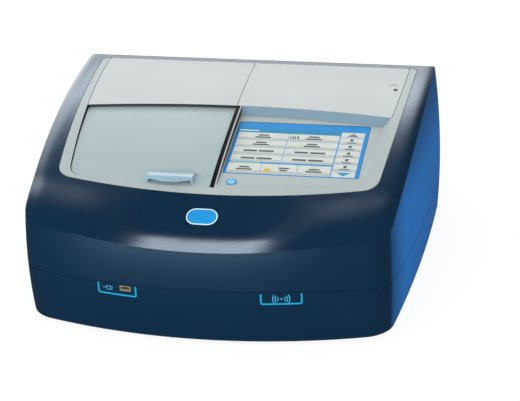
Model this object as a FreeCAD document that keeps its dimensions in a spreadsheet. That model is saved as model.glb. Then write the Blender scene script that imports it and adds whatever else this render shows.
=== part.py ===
import FreeCAD, Part
import math
import os
from types import SimpleNamespace

import Sketcher
from FreeCAD import Placement, Rotation, Vector

# A bench spectrophotometer with a sliding cell lid and a tilted touch display.
# Millimetres, +Z up, the front looks along -Y, origin under the middle of the base.

DIMENSIONS = [
    # overall housing
    ("width", 506),
    ("depth", 460),
    ("overall_height", 215),
    ("wall", 3),
    ("foot_height", 5),
    ("bulge_height", 100),
    ("side_taper_low", 3),
    ("side_taper_high", 8),
    ("front_taper_low", 9.5),
    ("front_taper_high", 14),
    ("side_bow_radius", 3276),
    ("widest_back", 52),
    ("front_bow_radius", 655),
    ("front_corner", 45),
    ("rear_corner", 12),
    # joint line between the two shells
    ("seam_front", 77),
    ("seam_rear", 50),
    ("seam_groove", 0.8),
    ("seam_groove_depth", 1.6),
    # moulded top of the hood
    ("crest_radius", 1180),
    ("crest_back", 452),
    ("rear_roll", 5),
    ("rear_roll_width", 22),
    ("rear_roll_lift", 0.3),
    ("shoulder_width", 26),
    ("shoulder_drop", 8),
    ("corner_roll", 10),
    ("corner_roll_width", 45),
    ("crease_drop", 86),
    ("crease_rise", 10),
    ("crease_reach", 190),
    ("crease_bow_radius", 655),
    ("shelf_slope", 0.08),
    ("shelf_share", 0.28),
    ("fall_slope", 0.7),
    # opening in the hood and the frame around the deck
    ("deck_margin", 30.3),
    ("deck_bow_radius", 3551),
    ("deck_front_back", 101),
    ("deck_front_radius", 900),
    ("deck_rear_inset", 25),
    ("deck_corner", 25),
    ("deck_rear_corner", 8),
    ("deck_ledge", 4),
    ("ledge_thick", 3.5),
    ("frame_thick", 3),
    ("frame_flange", 2),
    ("frame_flange_drop", 13),
    ("rim_width", 10.2),
    ("window_bow_radius", 2631),
    ("window_front_back", 114.6),
    ("window_front_radius", 1585),
    ("window_corner", 22),
    ("cover_shelf", 8),
    ("cover_shelf_thick", 2.2),
    # clearances
    ("fit_gap", 0.3),
    ("seat_gap", 0.2),
    ("lid_gap", 0.6),
    ("lid_rim_gap", 1.4),
    ("cover_gap", 0.7),
    ("deck_gap", 0.7),
    ("run_gap", 0.06),
    # rear covers
    ("cover_thick", 2.8),
    ("cover_front_back", 298),
    ("cover_front_radius", 1560),
    ("cover_split", -4),
    ("sensor_hole_radius", 3),
    ("sensor_hole_inset", 11.5),
    ("sensor_hole_back", 361),
    # sliding lid and its curved rails
    ("lid_radius", 1000),
    ("lid_axis_back", 393),
    ("lid_axis_drop", 1010.8),
    ("lid_thick", 2.6),
    ("lid_right", -5),
    ("lid_rear_back", 302),
    ("lid_travel", 7.9),
    ("lid_ledge", 4),
    ("lid_ledge_thick", 3),
    ("runner_width", 3),
    ("runner_depth", 4),
    ("runner_start", -14.6),
    ("runner_end", -5.5),
    ("rail_width", 8),
    ("rail_depth", 10),
    ("rail_inset", 26.5),
    ("rail_right", -20),
    ("rail_right_width", 20),
    ("rail_start", -15.1),
    ("rail_rear_gap", 19),
    ("groove_room", 0.15),
    ("divider_width", 4.8),
    ("divider_right", 0.6),
    ("divider_recess", 0.8),
    # pull handle on the lid
    ("handle_left", -87),
    ("handle_length", 60),
    ("handle_angle", -15.22),
    ("handle_depth", 26),
    ("handle_height", 9),
    ("handle_wave", 3),
    ("handle_wall", 2.2),
    # display panel
    ("panel_left", 1.2),
    ("panel_slope", 9.73),
    ("panel_front_back", 115),
    ("panel_front_drop", 49.8),
    ("panel_thick", 3),
    ("panel_left_wall", 1.8),
    ("bevel_width", 12),
    ("bevel_front", 7.6),
    ("bevel_slope", 1.2),
    ("cover_lip_width", 9),
    ("cover_lip_thick", 2),
    ("screen_left", 5),
    ("screen_right_margin", 32.5),
    ("screen_start", 35),
    ("screen_length", 126),
    ("screen_corner", 3),
    ("glass_thick", 1.5),
    ("glass_recess", 0.3),
    ("glass_ledge", 3),
    ("lcd_thick", 6),
    ("board_thick", 1.6),
    ("display_board_start", 8),
    ("display_board_width", 141),
    ("display_chip_size", 24),
    ("display_chip_start", 60),
    ("display_chip_pitch", 40),
    ("button_x", 20.6),
    ("button_along", 15.3),
    ("button_radius", 6.75),
    ("button_rise", 1.2),
    ("button_flange", 1.4),
    ("button_travel", 0.8),
    # base, feet and chassis
    ("boss_radius", 6),
    ("boss_height", 13),
    ("boss_inset", 73),
    ("boss_front_back", 110),
    ("boss_rear_gap", 40),
    ("chassis_thick", 4),
    ("chassis_margin", 48),
    ("chassis_front_back", 80),
    ("screw_radius", 2),
    ("screw_head_radius", 4),
    ("screw_head_thick", 2.2),
    ("foot_radius", 11),
    ("foot_inset", 45),
    ("foot_front_back", 85),
    ("foot_rear_gap", 35),
    ("foot_stem_radius", 3),
    ("filter_x", -100),
    ("filter_back", 200),
    ("filter_width", 80),
    ("filter_length", 76),
    ("filter_cover_thick", 2.6),
    ("filter_cover_rim", 7),
    ("filter_slot", 5),
    ("filter_slot_count", 6),
    # sample compartment
    ("tray_right", -12),
    ("tray_front_back", 130),
    ("tray_rear_back", 272),
    ("tray_wall", 3),
    ("tray_floor_height", 72),
    ("beam_back", 200),
    ("beam_height", 100),
    ("beam_hole_radius", 5),
    ("seal_width", 6),
    ("square_holder_x", -60),
    ("square_holder_size", 30),
    ("square_pocket", 12.5),
    ("square_holder_height", 38),
    ("round_holder_inset", 49),
    ("round_holder_radius", 22),
    ("round_bore_radius", 12.8),
    ("round_holder_height", 46),
    ("holder_floor", 4),
    ("reader_width", 40),
    ("reader_depth", 13),
    ("reader_height", 38),
    # optics bench
    ("mono_left", 20),
    ("mono_side_gap", 63),
    ("mono_front_back", 170),
    ("mono_rear_gap", 90),
    ("mono_height", 101),
    ("mono_wall", 4),
    ("mono_cover_thick", 3),
    ("slit_radius", 9),
    ("slit_plate_thick", 1.2),
    ("slit_width", 1),
    ("slit_height", 8),
    ("entrance_x", 95),
    ("mirror_radius", 18),
    ("mirror_thick", 8),
    ("mirror_focus_radius", 150),
    ("mirror_post", 10),
    ("turret_x", 130),
    ("turret_rear_gap", 138),
    ("turret_radius", 20),
    ("turret_thick", 5),
    ("turret_shaft_radius", 3),
    ("grating_width", 30),
    ("grating_thick", 7),
    ("stepper_size", 35),
    ("stepper_height", 20),
    ("wheel_radius", 28),
    ("wheel_thick", 3),
    ("wheel_rear_gap", 86),
    ("wheel_pitch_radius", 19),
    ("wheel_hole_radius", 6),
    ("wheel_hole_count", 6),
    ("wheel_shaft_radius", 2),
    ("wheel_motor_size", 26),
    ("wheel_motor_length", 16),
    # lamps
    ("lamp_rear_gap", 45),
    ("lamp_bracket_left", 36),
    ("lamp_bracket_width", 130),
    ("lamp_bracket_depth", 34),
    ("lamp_bracket_thick", 4),
    ("lamp_block_height", 30),
    ("halogen_x", 56),
    ("deuterium_x", 142),
    ("flip_mirror_width", 22),
    ("flip_mirror_thick", 3),
    ("flip_shaft_radius", 2.5),
    # electronics
    ("supply_side_gap", 68),
    ("supply_width", 108),
    ("supply_tray_gap", 40),
    ("supply_rear_gap", 32),
    ("supply_height", 42),
    ("vent_slot_width", 3),
    ("vent_slot_count", 8),
    ("board_left", -150),
    ("board_width", 130),
    ("board_tray_gap", 28),
    ("board_rear_gap", 6),
    ("board_height", 80),
    ("standoff_radius", 3),
    ("standoff_inset", 7),
    ("rfid_x", 103),
    ("rfid_width", 46),
    ("rfid_height", 58),
    ("rfid_wall_gap", 6),
    # rail bridge
    ("bridge_rear_gap", 24),
    ("bridge_thick", 6),
    ("bridge_left", -198),
    ("bridge_right", -2),
    ("bridge_leg", 8),
    ("bridge_beam", 12),
    # rear panel and its connectors
    ("rear_panel_thick", 2),
    ("rear_panel_margin", 48),
    ("rear_panel_top", 150),
    ("rear_opening_margin", 53),
    ("rear_opening_bottom", 71),
    ("rear_opening_top", 145),
    ("fan_x", 42),
    ("fan_height", 108),
    ("fan_size", 76),
    ("fan_depth", 20),
    ("fan_duct_radius", 35),
    ("fan_hub_radius", 14),
    ("fan_blade_radius", 33.5),
    ("fan_blade_count", 7),
    ("fan_shaft_radius", 3),
    ("inlet_inset", 83),
    ("inlet_flange_width", 34),
    ("inlet_flange_height", 64),
    ("inlet_flange_thick", 1.5),
    ("inlet_body_width", 27.4),
    ("inlet_body_height", 58),
    ("inlet_body_depth", 30),
    ("inlet_height", 108),
    ("inlet_cavity_width", 24.6),
    ("inlet_cavity_height", 16.4),
    ("inlet_cavity_depth", 17),
    ("drawer_width", 24),
    ("drawer_height", 8),
    ("drawer_depth", 20),
    ("rocker_width", 20),
    ("rocker_height", 13),
    ("network_x", -110),
    ("network_width", 16),
    ("network_height", 13.5),
    ("network_depth", 21),
    ("usb_width", 14.1),
    ("usb_height", 6.7),
    ("usb_depth", 15),
    ("usb_wall", 0.8),
    ("usb_rear_x", -66),
    ("usb_rear_pitch", 22),
    ("usb_front_x", -92.6),
    ("usb_front_height", 71),
    ("lamp_cover_inset", 161),
    ("lamp_cover_width", 100),
    ("lamp_cover_bottom", 76),
    ("lamp_cover_height", 64),
    ("lamp_cover_thick", 1.5),
]


class Size:
    """A number and the formula on the driving sizes that gives it."""

    def __init__(self, number, text):
        self.number = float(number)
        self.text = text

    def __float__(self):
        return self.number

    def joined(self, other, sign, number, swap=False):
        text = other.text if isinstance(other, Size) else repr(float(other))
        left, right = (text, self.text) if swap else (self.text, text)
        return Size(number, f"({left} {sign} {right})")

    def __add__(self, other):
        return self.joined(other, "+", self.number + float(other))

    def __radd__(self, other):
        return self.joined(other, "+", self.number + float(other), swap=True)

    def __sub__(self, other):
        return self.joined(other, "-", self.number - float(other))

    def __rsub__(self, other):
        return self.joined(other, "-", float(other) - self.number, swap=True)

    def __mul__(self, other):
        return self.joined(other, "*", self.number * float(other))

    def __rmul__(self, other):
        return self.joined(other, "*", self.number * float(other), swap=True)

    def __truediv__(self, other):
        return self.joined(other, "/", self.number / float(other))

    def __neg__(self):
        return Size(-self.number, f"(0 - {self.text})")


doc = FreeCAD.newDocument("spectrophotometer")
sheet = doc.addObject("Spreadsheet::Sheet", "Dims")
for row, (alias, number) in enumerate(DIMENSIONS, start=1):
    sheet.set(f"A{row}", alias)
    sheet.set(f"B{row}", str(number))
    sheet.setAlias(f"B{row}", alias)
doc.recompute()
D = SimpleNamespace(**{name: Size(sheet.get(name), f"Dims.{name}") for name, _ in DIMENSIONS})

# places worked out from the driving sizes
FRONT = -(D.depth / 2)
REAR = D.depth / 2
FLOOR_TOP = D.foot_height + D.wall
CHASSIS_BOTTOM = FLOOR_TOP + D.boss_height
CHASSIS_TOP = CHASSIS_BOTTOM + D.chassis_thick
BEAM_Y = FRONT + D.beam_back
TRAY_FLOOR_TOP = D.tray_floor_height + D.tray_wall
MONO_TOP = CHASSIS_TOP + D.mono_height
INNER_REAR = REAR - D.wall
PANEL_INNER = INNER_REAR - D.rear_panel_thick
FAR = 600
HALF_WIDTH = D.width / 2
DECK_HALF = HALF_WIDTH - D.deck_margin
WINDOW_HALF = DECK_HALF - D.rim_width
SCREEN_WIDTH = WINDOW_HALF - D.screen_left - D.screen_right_margin
RAIL_LEFT = D.rail_inset - WINDOW_HALF
ROUND_HOLDER_X = RAIL_LEFT + D.round_holder_inset
MONO_RIGHT = HALF_WIDTH - D.mono_side_gap
TRAY_FRONT = FRONT + D.tray_front_back
TRAY_REAR = FRONT + D.tray_rear_back
INLET_X = D.inlet_inset - HALF_WIDTH
LAMP_COVER_LEFT = HALF_WIDTH - D.lamp_cover_inset

nodes = []


def bind(item, prop, value):
    """Set a property, through the sheet where the value comes from it."""
    if isinstance(value, Size):
        item.setExpression(prop, value.text)
    else:
        setattr(item, prop, value)


def place(item, x=0, y=0, z=0, rotation=None):
    """Put an object at a point whose coordinates may be sheet formulas."""
    item.Placement = Placement(Vector(float(x), float(y), float(z)), rotation or Rotation())
    for axis, value in zip("xyz", (x, y, z)):
        if isinstance(value, Size):
            item.setExpression(f"Placement.Base.{axis}", value.text)
    return item


def keep(item, label):
    """Name a finished sub-part, which is written to its own file."""
    item.Label = label
    nodes.append(item)
    return item


def box(name, low, high):
    """A block between two opposite corners."""
    item = doc.addObject("Part::Box", name)
    for prop, start, end in zip(("Length", "Width", "Height"), low, high):
        bind(item, prop, end - start)
    return place(item, *low)


TURNS = {
    "x": Rotation(Vector(0, 1, 0), 90),
    "y": Rotation(Vector(1, 0, 0), -90),
    "z": Rotation(),
}


def rod(name, start, radius, length, axis="z"):
    """A round bar from a point along one axis."""
    item = doc.addObject("Part::Cylinder", name)
    bind(item, "Radius", radius)
    bind(item, "Height", length)
    return place(item, *start, TURNS[axis])


def cut(name, base, *tools):
    """The base without the tools."""
    item = doc.addObject("Part::Cut", name)
    item.Base = base
    item.Tool = tools[0] if len(tools) == 1 else join(name + "_tools", *tools)
    return item


def join(name, *parts):
    """Several touching or separate shapes as one."""
    item = doc.addObject("Part::MultiFuse", name)
    item.Shapes = list(parts)
    return item


def shared(name, *parts):
    """What all the shapes have in common."""
    item = doc.addObject("Part::MultiCommon", name)
    item.Shapes = list(parts)
    return item


def formed(name, shape):
    """A shape made by formula, kept as an object of the document."""
    item = doc.addObject("Part::Feature", name)
    item.Shape = shape
    return item


def new_body(name):
    return doc.addObject("PartDesign::Body", name)


def new_sketch(body, name, role="XY_Plane", offset=0):
    """A sketch on one of the body's own planes, at a distance along its normal."""
    sketch = body.newObject("Sketcher::SketchObject", name)
    plane = [item for item in body.Origin.OriginFeatures if item.Role == role][0]
    sketch.AttachmentSupport = [(plane, "")]
    sketch.MapMode = "FlatFace"
    if isinstance(offset, Size):
        sketch.setExpression("AttachmentOffset.Base.z", offset.text)
    elif offset:
        sketch.AttachmentOffset = Placement(Vector(0, 0, offset), Rotation())
    return sketch


def held(sketch, kind, *where):
    """A dimension of the sketch, bound to the sheet where its value is a formula."""
    value = where[-1]
    index = sketch.addConstraint(Sketcher.Constraint(kind, *where[:-1], float(value)))
    if isinstance(value, Size):
        sketch.setExpression(f"Constraints[{index}]", value.text)


def draw(sketch, corners):
    """A closed outline of straight sides, each corner held by its two distances."""
    first = sketch.GeometryCount
    points = [Vector(float(u), float(v), 0) for u, v in corners]
    count = len(points)
    for index in range(count):
        sketch.addGeometry(Part.LineSegment(points[index], points[(index + 1) % count]), False)
    for index in range(count):
        follower = first + (index + 1) % count
        sketch.addConstraint(Sketcher.Constraint("Coincident", first + index, 2, follower, 1))
    for index, (u, v) in enumerate(corners):
        held(sketch, "DistanceX", -1, 1, first + index, 1, u)
        held(sketch, "DistanceY", -1, 1, first + index, 1, v)


def frame_of(left, bottom, right, top):
    """The four corners of an upright rectangle."""
    return [(left, bottom), (right, bottom), (right, top), (left, top)]


def ring(sketch, u, v, radius):
    """A circle held by its centre and radius."""
    first = sketch.GeometryCount
    sketch.addGeometry(Part.Circle(Vector(float(u), float(v), 0), Vector(0, 0, 1), float(radius)), False)
    held(sketch, "DistanceX", -1, 1, first, 3, u)
    held(sketch, "DistanceY", -1, 1, first, 3, v)
    held(sketch, "Radius", first, radius)


def pad(body, sketch, length, reverse=False):
    feature = body.newObject("PartDesign::Pad", sketch.Name + "_pad")
    feature.Profile = sketch
    bind(feature, "Length", length)
    feature.Reversed = reverse
    sketch.Visibility = False
    return feature


def pocket(body, sketch, length, reverse=False):
    feature = body.newObject("PartDesign::Pocket", sketch.Name + "_pocket")
    feature.Profile = sketch
    bind(feature, "Length", length)
    feature.Reversed = reverse
    return feature


def plate(name, outline, thickness, role="XY_Plane", offset=0, openings=(), holes=(), reverse=False):
    """A sheet part padded from one sketch with its cut-outs in it."""
    body = new_body(name)
    sketch = new_sketch(body, name + "_outline", role, offset)
    draw(sketch, outline)
    for opening in openings:
        draw(sketch, opening)
    for u, v, radius in holes:
        ring(sketch, u, v, radius)
    pad(body, sketch, thickness, reverse)
    return body


def turned(name, profile):
    """A round part revolved about its own upright axis from (radius, height) corners."""
    body = new_body(name)
    sketch = new_sketch(body, name + "_profile", "XZ_Plane")
    draw(sketch, profile)
    feature = body.newObject("PartDesign::Revolution", name + "_turn")
    feature.Profile = sketch
    feature.ReferenceAxis = (sketch, ["V_Axis"])
    feature.Angle = 360
    return body


# Formed shapes

def circle_meeting(first, first_radius, second, second_radius):
    """The point to the right where two circles cross, the lower one of the two."""
    span = math.dist(first, second)
    along = (first_radius ** 2 - second_radius ** 2 + span ** 2) / (2 * span)
    aside = math.sqrt(first_radius ** 2 - along ** 2)
    ux, uy = (second[0] - first[0]) / span, (second[1] - first[1]) / span
    foot = (first[0] + ux * along, first[1] + uy * along)
    choices = [(foot[0] - side * uy * aside, foot[1] + side * ux * aside) for side in (1, -1)]
    return max(choices, key=lambda point: point[0])


def beyond(centre, through, radius):
    """The point on a circle that lies past another point as seen from the centre."""
    reach = radius / math.dist(centre, through)
    return (centre[0] + (through[0] - centre[0]) * reach, centre[1] + (through[1] - centre[1]) * reach)


def bowed_outline(half_width, widest, side_radius, front, front_radius, rear, corner, rear_corner, level):
    """A closed outline with bowed sides and front, a straight rear and rounded corners."""
    side = (half_width - side_radius, widest)
    bow = (0, front + front_radius)
    turn = circle_meeting(side, side_radius - corner, bow, front_radius - corner)
    rear_y = rear - rear_corner
    rear_x = side[0] + math.sqrt((side_radius - rear_corner) ** 2 - (rear_y - widest) ** 2)
    start = beyond(bow, turn, front_radius)
    end = beyond(side, turn, side_radius)
    middle = ((start[0] + end[0]) / 2, (start[1] + end[1]) / 2)
    last = beyond(side, (rear_x, rear_y), side_radius)
    side_middle = beyond(side, ((end[0] + last[0]) / 2, (end[1] + last[1]) / 2), side_radius)
    rear_end = (rear_x, rear)
    rear_middle = beyond((rear_x, rear_y), ((last[0] + rear_x) / 2, (last[1] + rear) / 2), rear_corner)

    def at(point, mirror=1):
        return Vector(point[0] * mirror, point[1], level)

    right = [
        (start, beyond(turn, middle, corner), end),
        (end, side_middle, last),
        (last, rear_middle, rear_end),
    ]
    edges = [Part.Arc(at(start, -1), at((0, front)), at(start)).toShape()]
    edges += [Part.Arc(*[at(point) for point in arc]).toShape() for arc in right]
    edges.append(Part.LineSegment(at(rear_end), at(rear_end, -1)).toShape())
    edges += [Part.Arc(*[at(point, -1) for point in reversed(arc)]).toShape() for arc in reversed(right)]
    return Part.Wire(edges)


def upright(wire, height=FAR):
    """The straight prism that stands on a flat outline."""
    return Part.Face(wire).extrude(Vector(0, 0, height))


def block(left, front, bottom, right, rear, top):
    """A plain block between two corners, as a bare shape."""
    values = [float(value) for value in (left, front, bottom, right, rear, top)]
    sides = [values[index + 3] - values[index] for index in range(3)]
    return Part.makeBox(*sides, Vector(*values[:3]))


def drum(radius, centre_y, centre_z):
    """A long round bar across the object, whose skin is a curved deck surface."""
    return Part.makeCylinder(float(radius), 2 * FAR, Vector(-FAR, float(centre_y), float(centre_z)),
                             Vector(1, 0, 0))


CREST_Y = FRONT + D.crest_back
CREST_Z = D.overall_height - D.crest_radius
LID_Y = FRONT + D.lid_axis_back
LID_Z = D.overall_height - D.lid_axis_drop
WIDEST_Y = REAR - D.widest_back
DECK_FRONT = FRONT + D.deck_front_back
DECK_REAR = REAR - D.deck_rear_inset
WINDOW_FRONT = FRONT + D.window_front_back


def rim_band(outer, inner):
    """The curved layer between two depths under the crest surface."""
    return drum(D.crest_radius - outer, CREST_Y, CREST_Z).cut(drum(D.crest_radius - inner, CREST_Y,
                                                                   CREST_Z))


def lid_band(outer, inner):
    """The curved layer between two depths under the top of the lid."""
    return drum(D.lid_radius - outer, LID_Y, LID_Z).cut(drum(D.lid_radius - inner, LID_Y, LID_Z))


def shell_outline(level, inset=0):
    """The housing's outline at a height, drawn in by the given distance."""
    rise = float(level - D.bulge_height)
    low = rise < 0
    span = float(D.bulge_height - D.foot_height) if low else float(D.overall_height - D.bulge_height)
    share = (rise / span) ** 2
    side_taper = float(D.side_taper_low if low else D.side_taper_high) * share
    front_taper = float(D.front_taper_low if low else D.front_taper_high) * share
    return bowed_outline(
        float(D.width) / 2 - side_taper - inset, float(WIDEST_Y), float(D.side_bow_radius) - inset,
        float(FRONT) + front_taper + inset, float(D.front_bow_radius) - inset,
        float(REAR) - inset, float(D.front_corner) - inset, float(D.rear_corner) - inset, float(level))


def housing_form(inset=0):
    """The closed outer form of the housing before its top and joint line are cut."""
    levels = (D.foot_height, D.bulge_height, D.overall_height + 2 * D.shoulder_drop)
    return Part.makeLoft([shell_outline(level, inset) for level in levels], True, False)


def deck_outline(inset, level=0):
    """The opening in the hood, drawn in by the given distance."""
    return bowed_outline(
        float(DECK_HALF) - inset, float(REAR), float(D.deck_bow_radius) - inset,
        float(DECK_FRONT) + inset, float(D.deck_front_radius) - inset,
        float(DECK_REAR) - inset, float(D.deck_corner) - inset, max(float(D.deck_rear_corner) - inset, 1),
        level)


def window_outline(inset, rear, level=0):
    """The opening in the deck frame, drawn in by the given distance."""
    return bowed_outline(
        float(WINDOW_HALF) - inset, float(REAR), float(D.window_bow_radius) - inset,
        float(WINDOW_FRONT) + inset, float(D.window_front_radius) - inset,
        float(rear), float(D.window_corner) - inset, 4, level)


def smooth_step(value):
    value = min(max(value, 0.0), 1.0)
    return value * value * (3 - 2 * value)


def crest_height(y):
    reach = float(D.crest_radius)
    return float(CREST_Z) + math.sqrt(reach ** 2 - (y - float(CREST_Y)) ** 2)


def front_fall(x, y):
    """Height of the moulded front between the deck and the crease above the front wall."""
    deck_y = float(DECK_FRONT) + x * x / (2 * float(D.deck_front_radius))
    crease_y = float(FRONT) + x * x / (2 * float(D.crease_bow_radius))
    if y >= deck_y:
        return crest_height(y)
    length = deck_y - crease_y
    start_slope = (float(CREST_Y) - deck_y) / (crest_height(deck_y) - float(CREST_Z))
    off = abs(x) / float(D.crease_reach)
    end_slope = float(D.shelf_slope) + (float(D.fall_slope) - float(D.shelf_slope)) * smooth_step(1.4 * off - 0.4)
    end_height = float(D.overall_height - D.crease_drop) + float(D.crease_rise) * off ** 2
    shelf = length * float(D.shelf_share) * (1 - smooth_step(1.4 * off - 0.4))
    from_crease = y - crease_y
    if from_crease < shelf:
        return end_height + from_crease * end_slope
    fall = length - shelf
    along = (deck_y - y) / fall
    square, cube = along ** 2, along ** 3
    return ((2 * cube - 3 * square + 1) * crest_height(deck_y)
            - (cube - 2 * square + along) * start_slope * fall
            + (3 * square - 2 * cube) * (end_height + shelf * end_slope)
            - (cube - square) * end_slope * fall)


def hood_height(x, y):
    """Height of the hood's moulded top, with its rolled shoulders and front corners."""
    side_reach = float(D.side_bow_radius)
    side_centre = float(D.width) / 2 - side_reach
    front_reach = float(D.front_bow_radius)
    from_side = side_reach - math.dist((abs(x), y), (side_centre, float(WIDEST_Y)))
    from_front = front_reach - math.dist((x, y), (0, float(FRONT) + front_reach))
    shoulder = max(1 - from_side / float(D.shoulder_width), 0)
    roll = max(1 - from_side / (2.4 * float(D.corner_roll_width)), 0)
    roll *= max(1 - from_front / (2 * float(D.corner_roll_width)), 0)
    drop = float(D.shoulder_drop) * shoulder ** 2.4
    return front_fall(x, y) - drop - float(D.corner_roll) * roll ** 2


def under_hood_top(depth=0):
    """Everything below the moulded top, lowered by the given depth."""
    columns, rows = 47, 43
    left, front = -0.55 * float(D.width), -0.55 * float(D.depth)
    step_x, step_y = -2 * left / (columns - 1), -2 * front / (rows - 1)
    heights = [[hood_height(left + step_x * column, front + step_y * row) - depth for row in range(rows)]
               for column in range(columns)]
    skin = Part.BSplineSurface()
    skin.interpolate(heights, left, step_x, front, step_y)
    return skin.toShape().extrude(Vector(0, 0, -FAR)).common(under_rear_roll(depth))


def under_rear_roll(depth):
    """Everything below the rounded edge along the rear of the hood's top."""
    start = float(REAR - D.rear_roll_width)
    reach = float(D.rear_roll_width) ** 2 / (2 * float(D.rear_roll))
    centre_z = crest_height(start) + float(D.rear_roll_lift) - reach
    reach -= depth

    def point(angle):
        turn = math.radians(angle)
        return Vector(-FAR, start + reach * math.sin(turn), centre_z + reach * math.cos(turn))

    arc = Part.Arc(point(0), point(35), point(70)).toShape()
    corners = [point(70), Vector(-FAR, point(70).y, -FAR), Vector(-FAR, -FAR, -FAR),
               Vector(-FAR, -FAR, FAR),
               Vector(-FAR, start, FAR), point(0)]
    sides = [Part.makeLine(corners[index], corners[index + 1]) for index in range(len(corners) - 1)]
    return Part.Face(Part.Wire([arc] + sides)).extrude(Vector(2 * FAR, 0, 0))


def under_seam(lift=0):
    """Everything below the joint line of the two shells, which falls towards the rear."""
    front, rear = float(FRONT) - 20, float(REAR) + 20
    slope = (float(D.seam_rear) - float(D.seam_front)) / float(D.depth)
    corners = [(front, -50), (rear, -50), (rear, float(D.seam_rear) + 20 * slope + lift),
               (front, float(D.seam_front) - 20 * slope + lift)]
    points = [Vector(-FAR / 2, y, z) for y, z in corners]
    return Part.Face(Part.makePolygon(points + points[:1])).extrude(Vector(FAR, 0, 0))


def front_point(x, level):
    """The place on the front wall at a height, and the wall's turn there about the vertical."""
    rise = float(level - D.bulge_height) / float(D.bulge_height - D.foot_height)
    reach = float(D.front_bow_radius)
    front = float(FRONT) + float(D.front_taper_low) * rise ** 2
    turn = math.degrees(math.asin(float(x) / reach))
    return Vector(float(x), front + reach * (1 - math.cos(math.radians(turn))), float(level)), turn


BOSS_X = HALF_WIDTH - D.boss_inset
FOOT_X = HALF_WIDTH - D.foot_inset
BOSSES = [(side * BOSS_X, y) for side in (1, -1) for y in (FRONT + D.boss_front_back,
                                                           REAR - D.boss_rear_gap)]
FEET = [(side * FOOT_X, y) for side in (1, -1) for y in (FRONT + D.foot_front_back, REAR - D.foot_rear_gap)]
FILTER_Y = FRONT + D.filter_back


def upright_rod(x, y, bottom, radius, length):
    """A round upright bar as a bare shape."""
    return Part.makeCylinder(float(radius), float(length), Vector(float(x), float(y), float(bottom)))


def housing():
    """The two moulded shells that make the outside of the instrument."""
    outer = housing_form()
    inner = housing_form(float(D.wall))
    below = under_seam()
    groove = under_seam(float(D.seam_groove)).cut(below).cut(housing_form(float(D.seam_groove_depth)))

    hood = outer.common(under_hood_top()).cut(below).cut(groove)
    hood = hood.cut(inner.common(under_hood_top(float(D.wall))))
    ledge = upright(deck_outline(-2 * float(D.wall))).cut(upright(deck_outline(float(D.deck_ledge))))
    ledge = ledge.common(rim_band(1.5, D.frame_thick + D.ledge_thick))
    hood = hood.fuse(ledge)
    recess = upright(deck_outline(0)).common(drum(D.crest_radius + 20, CREST_Y, CREST_Z))
    recess = recess.cut(drum(D.crest_radius - D.frame_thick - D.seat_gap, CREST_Y, CREST_Z))
    hood = hood.cut(recess).cut(upright(deck_outline(float(D.deck_ledge))))
    half_opening = HALF_WIDTH - D.rear_opening_margin
    opening = block(-half_opening, REAR - 2 * D.wall, D.rear_opening_bottom,
                    half_opening, REAR + D.wall, D.rear_opening_top)
    hood = hood.cut(opening)

    base = outer.common(below)
    base = base.cut(inner.common(block(-FAR, -FAR, FLOOR_TOP, FAR, FAR, FAR)))
    bosses = [upright_rod(x, y, D.foot_height, D.boss_radius, D.wall + D.boss_height) for x, y in BOSSES]
    shelf_point, turn = front_point(D.usb_front_x, D.usb_front_height)
    shelf = Part.makeBox(20, 18, 2.4, Vector(-10, 0.5, -float(D.usb_height) / 2 - 2.6))
    shelf.Placement = Placement(shelf_point, Rotation(Vector(0, 0, 1), turn)).multiply(shelf.Placement)
    base = base.fuse(bosses + [shelf.common(outer)])
    holes = [upright_rod(x, y, 0, D.screw_radius + D.fit_gap, CHASSIS_TOP) for x, y in BOSSES]
    holes += [upright_rod(x, y, 0, D.screw_head_radius + D.fit_gap,
                          D.foot_height + D.screw_head_thick + D.seat_gap)
              for x, y in BOSSES]
    holes += [upright_rod(x, y, 0, D.foot_stem_radius + D.run_gap, FLOOR_TOP) for x, y in FEET]
    half_width, half_length = D.filter_width / 2, D.filter_length / 2
    holes.append(block(D.filter_x - half_width, FILTER_Y - half_length, 0,
                       D.filter_x + half_width, FILTER_Y + half_length, FLOOR_TOP))
    socket_wide, socket_high = float(D.usb_width) + 0.4, float(D.usb_height) + 0.4
    socket = Part.makeBox(socket_wide, 20, socket_high, Vector(-socket_wide / 2, -10, -socket_high / 2))
    socket.Placement = Placement(shelf_point, Rotation(Vector(0, 0, 1), turn)).multiply(socket.Placement)
    base = base.cut(holes + [socket])
    keep(formed("Hood", hood), "hood")
    keep(formed("Base", base), "base_shell")


def arc_bar(left, right, outer, inner, start, end):
    """A bar bent round the lid's axis, between two depths under its top and two angles."""
    angle = math.radians(float(start))
    corners = []
    for x, depth in ((left, outer), (right, outer), (right, inner), (left, inner)):
        reach = float(D.lid_radius - depth)
        corners.append(Vector(float(x), float(LID_Y) + reach * math.sin(angle),
                              float(LID_Z) + reach * math.cos(angle)))
    face = Part.Face(Part.makePolygon(corners + corners[:1]))
    return face.revolve(Vector(0, float(LID_Y), float(LID_Z)), Vector(-1, 0, 0), float(end) - float(start))


def rounded_slab(left, front, right, rear, radius, low, high):
    """A flat slab with four rounded upright corners."""
    slab = block(left, front, low, right, rear, high)
    corners = [edge for edge in slab.Edges if abs(edge.tangentAt(edge.FirstParameter).z) > 0.9]
    return slab.makeFillet(float(radius), corners)


COVER_FRONT = FRONT + D.cover_front_back
SHELF_FRONT = COVER_FRONT + 22
RAIL_TOP = D.lid_thick + D.fit_gap
RAIL_BOTTOM = RAIL_TOP + D.rail_depth
RUNNERS = [RAIL_LEFT + D.rail_width / 2, D.rail_right + D.rail_width / 2]


def ahead_of_covers(gap):
    """The region in front of the bowed front edge of the rear covers."""
    reach = float(D.cover_front_radius) - gap
    return Part.makeCylinder(reach, FAR, Vector(0, float(COVER_FRONT - D.cover_front_radius), 0))


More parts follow.
